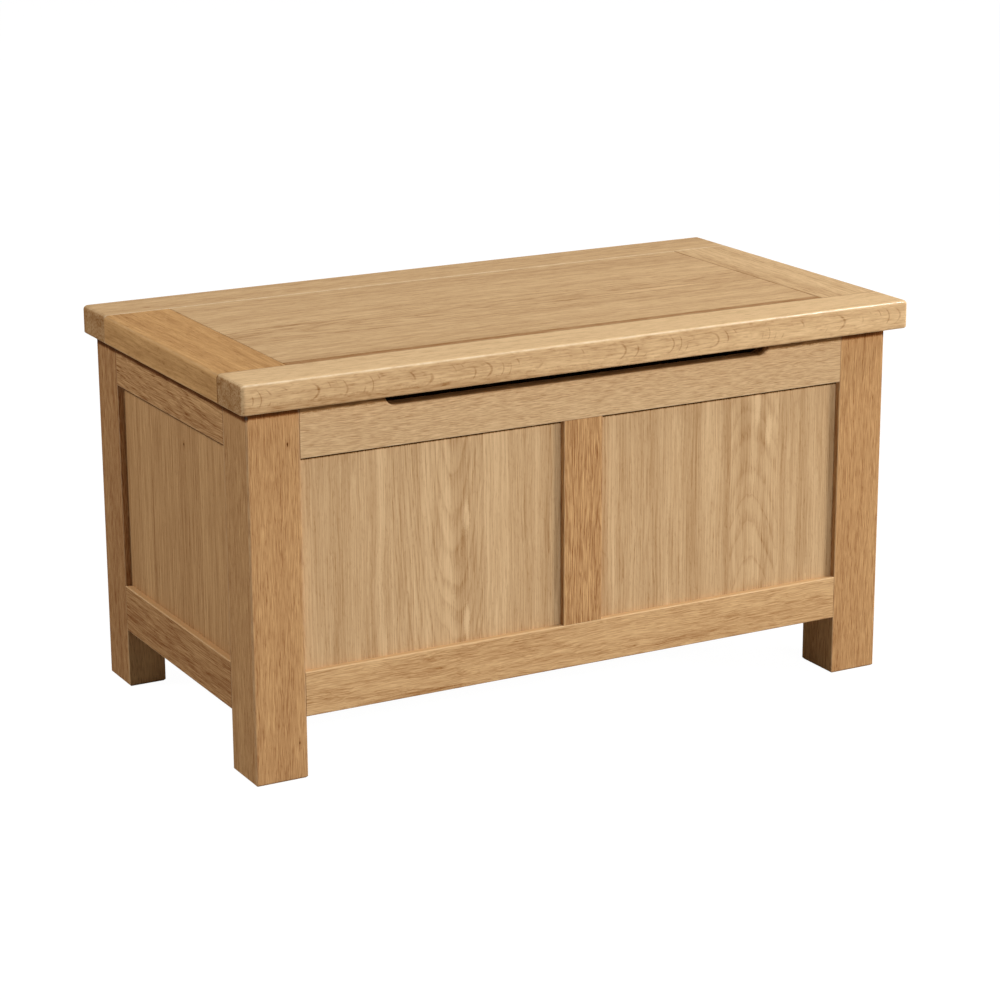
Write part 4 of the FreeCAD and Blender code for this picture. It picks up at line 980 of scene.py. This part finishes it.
def stand(mesh, peg, turn):
    """Moves a solid drawn downwards from the origin to where its peg lies."""
    facing = (-peg.axis).to_track_quat("Z", "Y").to_matrix().to_4x4()
    spun = Matrix.Rotation(turn, 4, "Z")
    bmesh.ops.transform(mesh, matrix=Matrix.Translation(peg.start) @ facing @ spun, verts=mesh.verts)


def dome(radius, height, steps):
    """Half the outline of a shallow dome, from its top to its rim."""
    quarter = math.pi / 2
    return [(radius * math.sin(quarter * step / steps), height * (1 - math.cos(quarter * step / steps)))
            for step in range(steps + 1)]


def screw_profile(peg, metal):
    """A countersunk screw from its rim to its point: cone, plain shank, thread and tip."""
    cone = peg.radius - metal.shank
    points = [(peg.radius, 0), (peg.radius, cone * HEAD_RIM), (metal.shank, cone * (1 + HEAD_RIM))]
    depth = peg.length * PLAIN_SHANK
    while depth < peg.length - 2 * metal.shank:
        points += [(metal.shank - metal.thread_depth, depth),
                   (metal.shank, depth + metal.thread_pitch * THREAD_RISE)]
        depth += metal.thread_pitch
    return points + [(metal.shank - metal.thread_depth, peg.length - metal.shank), (0, peg.length)]


def cross_ring(mesh, reach, half, depth):
    """The outline of a cross recess at one depth."""
    corners = []
    for quarter in range(4):
        turn = Matrix.Rotation(quarter * math.pi / 2, 3, "Z")
        corners += [mesh.verts.new(turn @ Vector((x, y, -depth)))
                    for x, y in ((reach, -half), (reach, half), (half, half))]
    return corners


def screw(peg, metal):
    """One screw, with a cross recess in its head."""
    mesh = bmesh.new()
    spin(mesh, screw_profile(peg, metal), SCREW_SIDES)
    rim = [edge for edge in mesh.edges if edge.is_boundary]
    half = metal.recess_slot / 2
    upper = cross_ring(mesh, metal.recess_reach, half, 0)
    lower = cross_ring(mesh, metal.recess_reach * RECESS_TAPER, half * RECESS_TAPER, metal.recess_depth)
    around = list(zip(range(len(upper)), [*range(1, len(upper)), 0]))
    mouth = [mesh.edges.new((upper[i], upper[j])) for i, j in around]
    for i, j in around:
        mesh.faces.new((upper[i], lower[i], lower[j], upper[j]))
    mesh.faces.new(lower)
    bmesh.ops.triangle_fill(mesh, edges=rim + mouth, use_beauty=True, use_dissolve=False)
    return mesh


def rivet(peg, metal):
    """One rivet, domed at both ends."""
    mesh = bmesh.new()
    head = metal.rivet_head
    cap = dome(peg.radius, head * RIVET_DOME, DOME_STEPS)
    cap += [(peg.radius, head), (metal.rivet_shank, head)]
    spin(mesh, cap + [(radius, peg.length - depth) for radius, depth in reversed(cap)], ROUND_SIDES)
    return mesh


def buffer(peg, metal):
    """One soft pad, flat below and domed above."""
    mesh = bmesh.new()
    crown = dome(peg.radius * PAD_CROWN, peg.length, DOME_STEPS)
    side = [(peg.radius, peg.length * PAD_WALL), (peg.radius, peg.length), (0, peg.length)]
    spin(mesh, [(radius, depth * PAD_DOME) for radius, depth in crown] + side, ROUND_SIDES)
    return mesh


def detail(node, make, material):
    """Puts a finely made copy of each of a CAD piece's round solids in its place."""
    whole = bmesh.new()
    for number, corners in enumerate(islands(node)):
        peg = peg_of(corners)
        one = make(peg, settings().metal)
        bmesh.ops.recalc_face_normals(one, faces=one.faces)
        stand(one, peg, number * GOLDEN_TURN)
        scratch = bpy.data.meshes.new("scratch")
        one.to_mesh(scratch)
        one.free()
        whole.from_mesh(scratch)
        bpy.data.meshes.remove(scratch)
    mesh = bpy.data.meshes.new(node + "_detail")
    whole.to_mesh(mesh)
    whole.free()
    mesh.shade_smooth()
    mesh.set_sharp_from_angle(angle=SHARP)
    mesh.materials.append(material)
    piece = bpy.data.objects.new(node + "_detail", mesh)
    bpy.context.scene.collection.objects.link(piece)
    bodies = frame["record"]["behaviour"]["bodies"]
    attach(piece, next(body for body, nodes in bodies.items() if node in nodes))
    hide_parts(node)


# ---------------------------------------------------------------- operators
class CHEST_OT_frame_oak(bpy.types.Operator):
    """Finish the legs, mullions and rails in oak"""
    bl_idname = "chest.frame_oak"
    bl_label = "Finish Frame"

    def execute(self, context):
        oak = settings().oak
        saw_oak(LEGS, oak.leg_pale, oak.leg_dark, first_seed=1)
        saw_oak(TOP_RAIL, oak.panel_pale, oak.panel_dark, first_seed=11)
        saw_oak(RAILS, oak.rail_pale, oak.rail_dark, first_seed=12)
        saw_oak(SIDE_RAILS, oak.leg_pale, oak.leg_dark, first_seed=15)
        return {"FINISHED"}


class CHEST_OT_panel_oak(bpy.types.Operator):
    """Finish the front, back and side panels in glued-up oak boards"""
    bl_idname = "chest.panel_oak"
    bl_label = "Finish Panels"

    def execute(self, context):
        oak = settings().oak
        saw_oak(PANELS, oak.panel_pale, oak.panel_dark, first_seed=21)
        saw_oak(SIDE_PANELS, oak.side_pale, oak.side_dark, first_seed=31)
        return {"FINISHED"}


class CHEST_OT_lid_oak(bpy.types.Operator):
    """Finish the lid's rails and boards in oak"""
    bl_idname = "chest.lid_oak"
    bl_label = "Finish Lid"

    def execute(self, context):
        oak = settings().oak
        saw_oak(LID, oak.lid_pale, oak.lid_dark, first_seed=41)
        saw_oak(LID_LEFT_END, oak.lid_end_pale, oak.lid_end_dark, first_seed=51)
        return {"FINISHED"}


class CHEST_OT_inner_boards(bpy.types.Operator):
    """Finish the plywood bottom board and the softwood battens"""
    bl_idname = "chest.inner_boards"
    bl_label = "Finish Inner Boards"

    def execute(self, context):
        boards = settings().boards
        saw(BOTTOM, boards.ply_pale, boards.ply_dark, boards.ply_ring,
            boards.ply_roughness, first_seed=61)
        saw(BATTENS, boards.batten_pale, boards.batten_dark, boards.batten_ring,
            boards.batten_roughness, first_seed=62)
        return {"FINISHED"}


class CHEST_OT_hinges(bpy.types.Operator):
    """Finish the hinges in brass"""
    bl_idname = "chest.hinges"
    bl_label = "Finish Hinges"

    def execute(self, context):
        metal = settings().metal
        brass = metal_material("brass", metal.brass, metal.brass_tarnish, roughness=0.3, rubbing=0.3)
        for side in ("left", "right"):
            for part in ("frame_leaf", "lid_leaf", "pin"):
                wear(f"{side}_hinge_{part}", brass)
        return {"FINISHED"}


class CHEST_OT_stays(bpy.types.Operator):
    """Finish the folding stays in steel and set their rivets"""
    bl_idname = "chest.stays"
    bl_label = "Finish Stays"

    def execute(self, context):
        metal = settings().metal
        steel = metal_material("steel", metal.steel, metal.steel_dull, roughness=0.32, rubbing=0.3,
                               grain="YXZ")
        for side in ("left", "right"):
            for part in ("leg_bracket", "arm", "link", "lid_bracket"):
                wear(f"{side}_stay_{part}", steel)
            for part in ("leg_rivet", "knee_rivet", "lid_rivet"):
                detail(f"{side}_stay_{part}", rivet, steel)
        return {"FINISHED"}


class CHEST_OT_screws(bpy.types.Operator):
    """Drive the screws of the battens, hinges and stays"""
    bl_idname = "chest.screws"
    bl_label = "Drive Screws"

    def execute(self, context):
        metal = settings().metal
        zinc = metal_material("zinc", metal.zinc, metal.zinc_dull, roughness=0.35, rubbing=0.1)
        for node in ("batten_screws", "hinge_frame_screws", "hinge_lid_screws", "stay_leg_screws",
                     "stay_lid_screws"):
            detail(node, screw, zinc)
        return {"FINISHED"}


class CHEST_OT_buffers(bpy.types.Operator):
    """Stick on the soft pads that the lid closes on"""
    bl_idname = "chest.buffers"
    bl_label = "Stick On Buffers"

    def execute(self, context):
        metal = settings().metal
        material, pen, place, shader = new_material("buffer", Transmission_Weight=0.4, IOR=1.45)
        patches = pen.noise(place["Object"], detail=3, roughness=0.6, scale=900)["Fac"]
        dust = pen.rise(patches, 0.45, 0.7)
        pen.feed(shader["Base Color"], pen.blend(dust, metal.buffer, metal.buffer_dust))
        pen.feed(shader["Roughness"], pen.spread(dust, 0.25, 0.5))
        detail("lid_buffers", buffer, material)
        return {"FINISHED"}


# ---------------------------------------------------------------- studio
CAMERA_PLACE = (-1.5597, -2.8746, 1.1574)
CAMERA_TURN = math.radians(28.5818)      # from +Y towards +X
CAMERA_DIP = math.radians(-16.0733)
CAMERA_ROLL = math.radians(-0.2618)
SENSOR = 36               # millimetres
CLIP_END = 100            # metres
FLOOR_MOTTLE = 0.98       # the darker patches of the floor, as a share of its colour
FLOOR_GLOW = 1.09         # the strength of the white that the camera sees
FLOOR_WHITE = 0.9         # how much of the floor is that white; the rest shows the faint shadow


class SoftBox(NamedTuple):
    """A lamp's place, the point it is turned towards, and its width and height, in metres."""
    place: tuple
    aim: tuple
    width: float
    height: float


SOFT_BOXES = {
    "key": SoftBox((6.31, -4.93, 2.42), (0, 0, 0.2), 2.2, 0.6),
    "front": SoftBox((0.7, -8.0, 3.8), (0, 0, 0.2), 2.4, 0.6),
    "fill": SoftBox((-3.9, 1.6, 3.6), (-0.3, 0, 0.2), 1.1, 0.9),
    "top": SoftBox((0.6, 0.5, 4.5), (0, 0, 0.45), 2.4, 1.8),
    "edge": SoftBox((1.6, -0.7, 2.2), (0.3, -0.2, 0.45), 0.5, 0.25),
}


def add_camera(studio):
    """The camera, looking down a line given by its turn, dip and roll."""
    forward = Vector((math.sin(CAMERA_TURN) * math.cos(CAMERA_DIP),
                      math.cos(CAMERA_TURN) * math.cos(CAMERA_DIP), math.sin(CAMERA_DIP)))
    level = Vector((math.cos(CAMERA_TURN), -math.sin(CAMERA_TURN), 0))
    upright = level.cross(forward)
    right = level * math.cos(CAMERA_ROLL) + upright * math.sin(CAMERA_ROLL)
    up = upright * math.cos(CAMERA_ROLL) - level * math.sin(CAMERA_ROLL)
    data = bpy.data.cameras.new("camera")
    data.lens = studio.lens
    data.sensor_width = SENSOR
    data.clip_end = CLIP_END
    camera = bpy.data.objects.new("camera", data)
    camera.matrix_world = Matrix((right, up, -forward)).transposed().to_4x4()
    camera.location = CAMERA_PLACE
    bpy.context.scene.collection.objects.link(camera)
    bpy.context.scene.camera = camera


def add_lamp(name, box, watts):
    """A soft box, turned towards its point."""
    data = bpy.data.lights.new(name, "AREA")
    data.shape = "RECTANGLE"
    data.size, data.size_y = box.width, box.height
    data.energy = watts
    lamp = bpy.data.objects.new(name, data)
    lamp.location = box.place
    lamp.rotation_euler = (Vector(box.aim) - Vector(box.place)).to_track_quat("-Z", "Y").to_euler()
    bpy.context.scene.collection.objects.link(lamp)


def floor_material(studio):
    """White to the camera but for a faint shadow, and a plain pale floor to what lights the chest."""
    material, pen, place, shader = new_material("floor", Roughness=0.9, Specular_IOR_Level=0.0)
    surface = find(material.node_tree, "OUTPUT_MATERIAL").inputs["Surface"]
    plain = surface.links[0].from_socket
    rays = pen.add("LightPath").outputs
    mottle = pen.noise(place["Object"], detail=3, scale=4)["Fac"]
    seen = pen.blend(mottle, studio.floor, [level * FLOOR_MOTTLE for level in studio.floor])
    pen.feed(shader["Base Color"], pen.blend(rays["Is Camera Ray"], studio.floor_bounce, seen))
    glow = pen.add("Emission")
    glow.inputs["Strength"].default_value = FLOOR_GLOW
    mix = pen.add("MixShader")
    white = pen.maths("MAXIMUM", rays["Is Camera Ray"], rays["Is Glossy Ray"])
    pen.feed(mix.inputs[0], pen.times(white, FLOOR_WHITE))
    pen.feed(mix.inputs[1], plain)
    pen.feed(mix.inputs[2], glow.outputs[0])
    pen.feed(surface, mix.outputs[0])
    return material


def add_floor(studio):
    """The floor that the chest stands on."""
    side = studio.floor_size / 2
    mesh = bpy.data.meshes.new("floor")
    corners = [(-side, -side, 0), (side, -side, 0), (side, side, 0), (-side, side, 0)]
    mesh.from_pydata(corners, [], [(0, 1, 2, 3)])
    floor = bpy.data.objects.new("floor", mesh)
    bpy.context.scene.collection.objects.link(floor)
    mesh.materials.append(floor_material(studio))


def add_world(studio):
    """White to the camera, gloss and glass, and a plain soft light to all else."""
    world = bpy.data.worlds.new("studio")
    bpy.context.scene.world = world
    world.use_nodes = True
    pen = Pen(world.node_tree)
    background = find(world.node_tree, "BACKGROUND")
    rays = pen.add("LightPath").outputs
    white = pen.total(rays["Is Camera Ray"], rays["Is Glossy Ray"], rays["Is Transmission Ray"],
                      clamp=True)
    pen.feed(background.inputs["Strength"], pen.spread(white, studio.ambient, 1.0))
    background.inputs["Color"].default_value = (1, 1, 1, 1)


class CHEST_OT_studio(bpy.types.Operator):
    """Set up the floor, lamps, background and camera"""
    bl_idname = "chest.studio"
    bl_label = "Set Up Studio"

    def execute(self, context):
        studio = settings().studio
        add_floor(studio)
        add_world(studio)
        for name, box in SOFT_BOXES.items():
            add_lamp(name + "_lamp", box, getattr(studio, name + "_power"))
        add_camera(studio)
        context.scene.view_settings.view_transform = "Standard"
        return {"FINISHED"}


OPERATORS = (CHEST_OT_frame_oak, CHEST_OT_panel_oak, CHEST_OT_lid_oak, CHEST_OT_inner_boards,
             CHEST_OT_hinges, CHEST_OT_stays, CHEST_OT_screws, CHEST_OT_buffers, CHEST_OT_studio)


class CHEST_PT_sidebar(bpy.types.Panel):
    """Lists the steps that dress the chest"""
    bl_idname = "CHEST_PT_sidebar"
    bl_label = "Blanket Chest"
    bl_space_type = "VIEW_3D"
    bl_region_type = "UI"
    bl_category = "Chest"

    def draw(self, context):
        for operator in OPERATORS:
            self.layout.operator(operator.bl_idname)
        for title in ("oak", "boards", "metal", "studio"):
            group = getattr(context.scene.chest, title)
            box = self.layout.box()
            for name in group.__annotations__:
                box.prop(group, name)


CLASSES = (OakSettings, BoardSettings, MetalSettings, StudioSettings, ChestSettings, *OPERATORS,
           CHEST_PT_sidebar)


def register():
    """Makes the chest's settings, steps and panel known to Blender."""
    for item in CLASSES:
        bpy.utils.register_class(item)
    bpy.types.Scene.chest = PointerProperty(type=ChestSettings)


def unregister():
    """Takes away what register made known."""
    del bpy.types.Scene.chest
    for item in reversed(CLASSES):
        bpy.utils.unregister_class(item)


def main():
    """Clears away Blender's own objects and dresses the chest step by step."""
    kept = set(frame["nodes"].values()) | set(frame["bodies"].values())
    for item in [other for other in bpy.data.objects if other not in kept]:
        bpy.data.objects.remove(item)
    register()
    for operator in OPERATORS:
        namespace, name = operator.bl_idname.split(".")
        getattr(getattr(bpy.ops, namespace), name)()


if __name__ == "__main__":
    main()
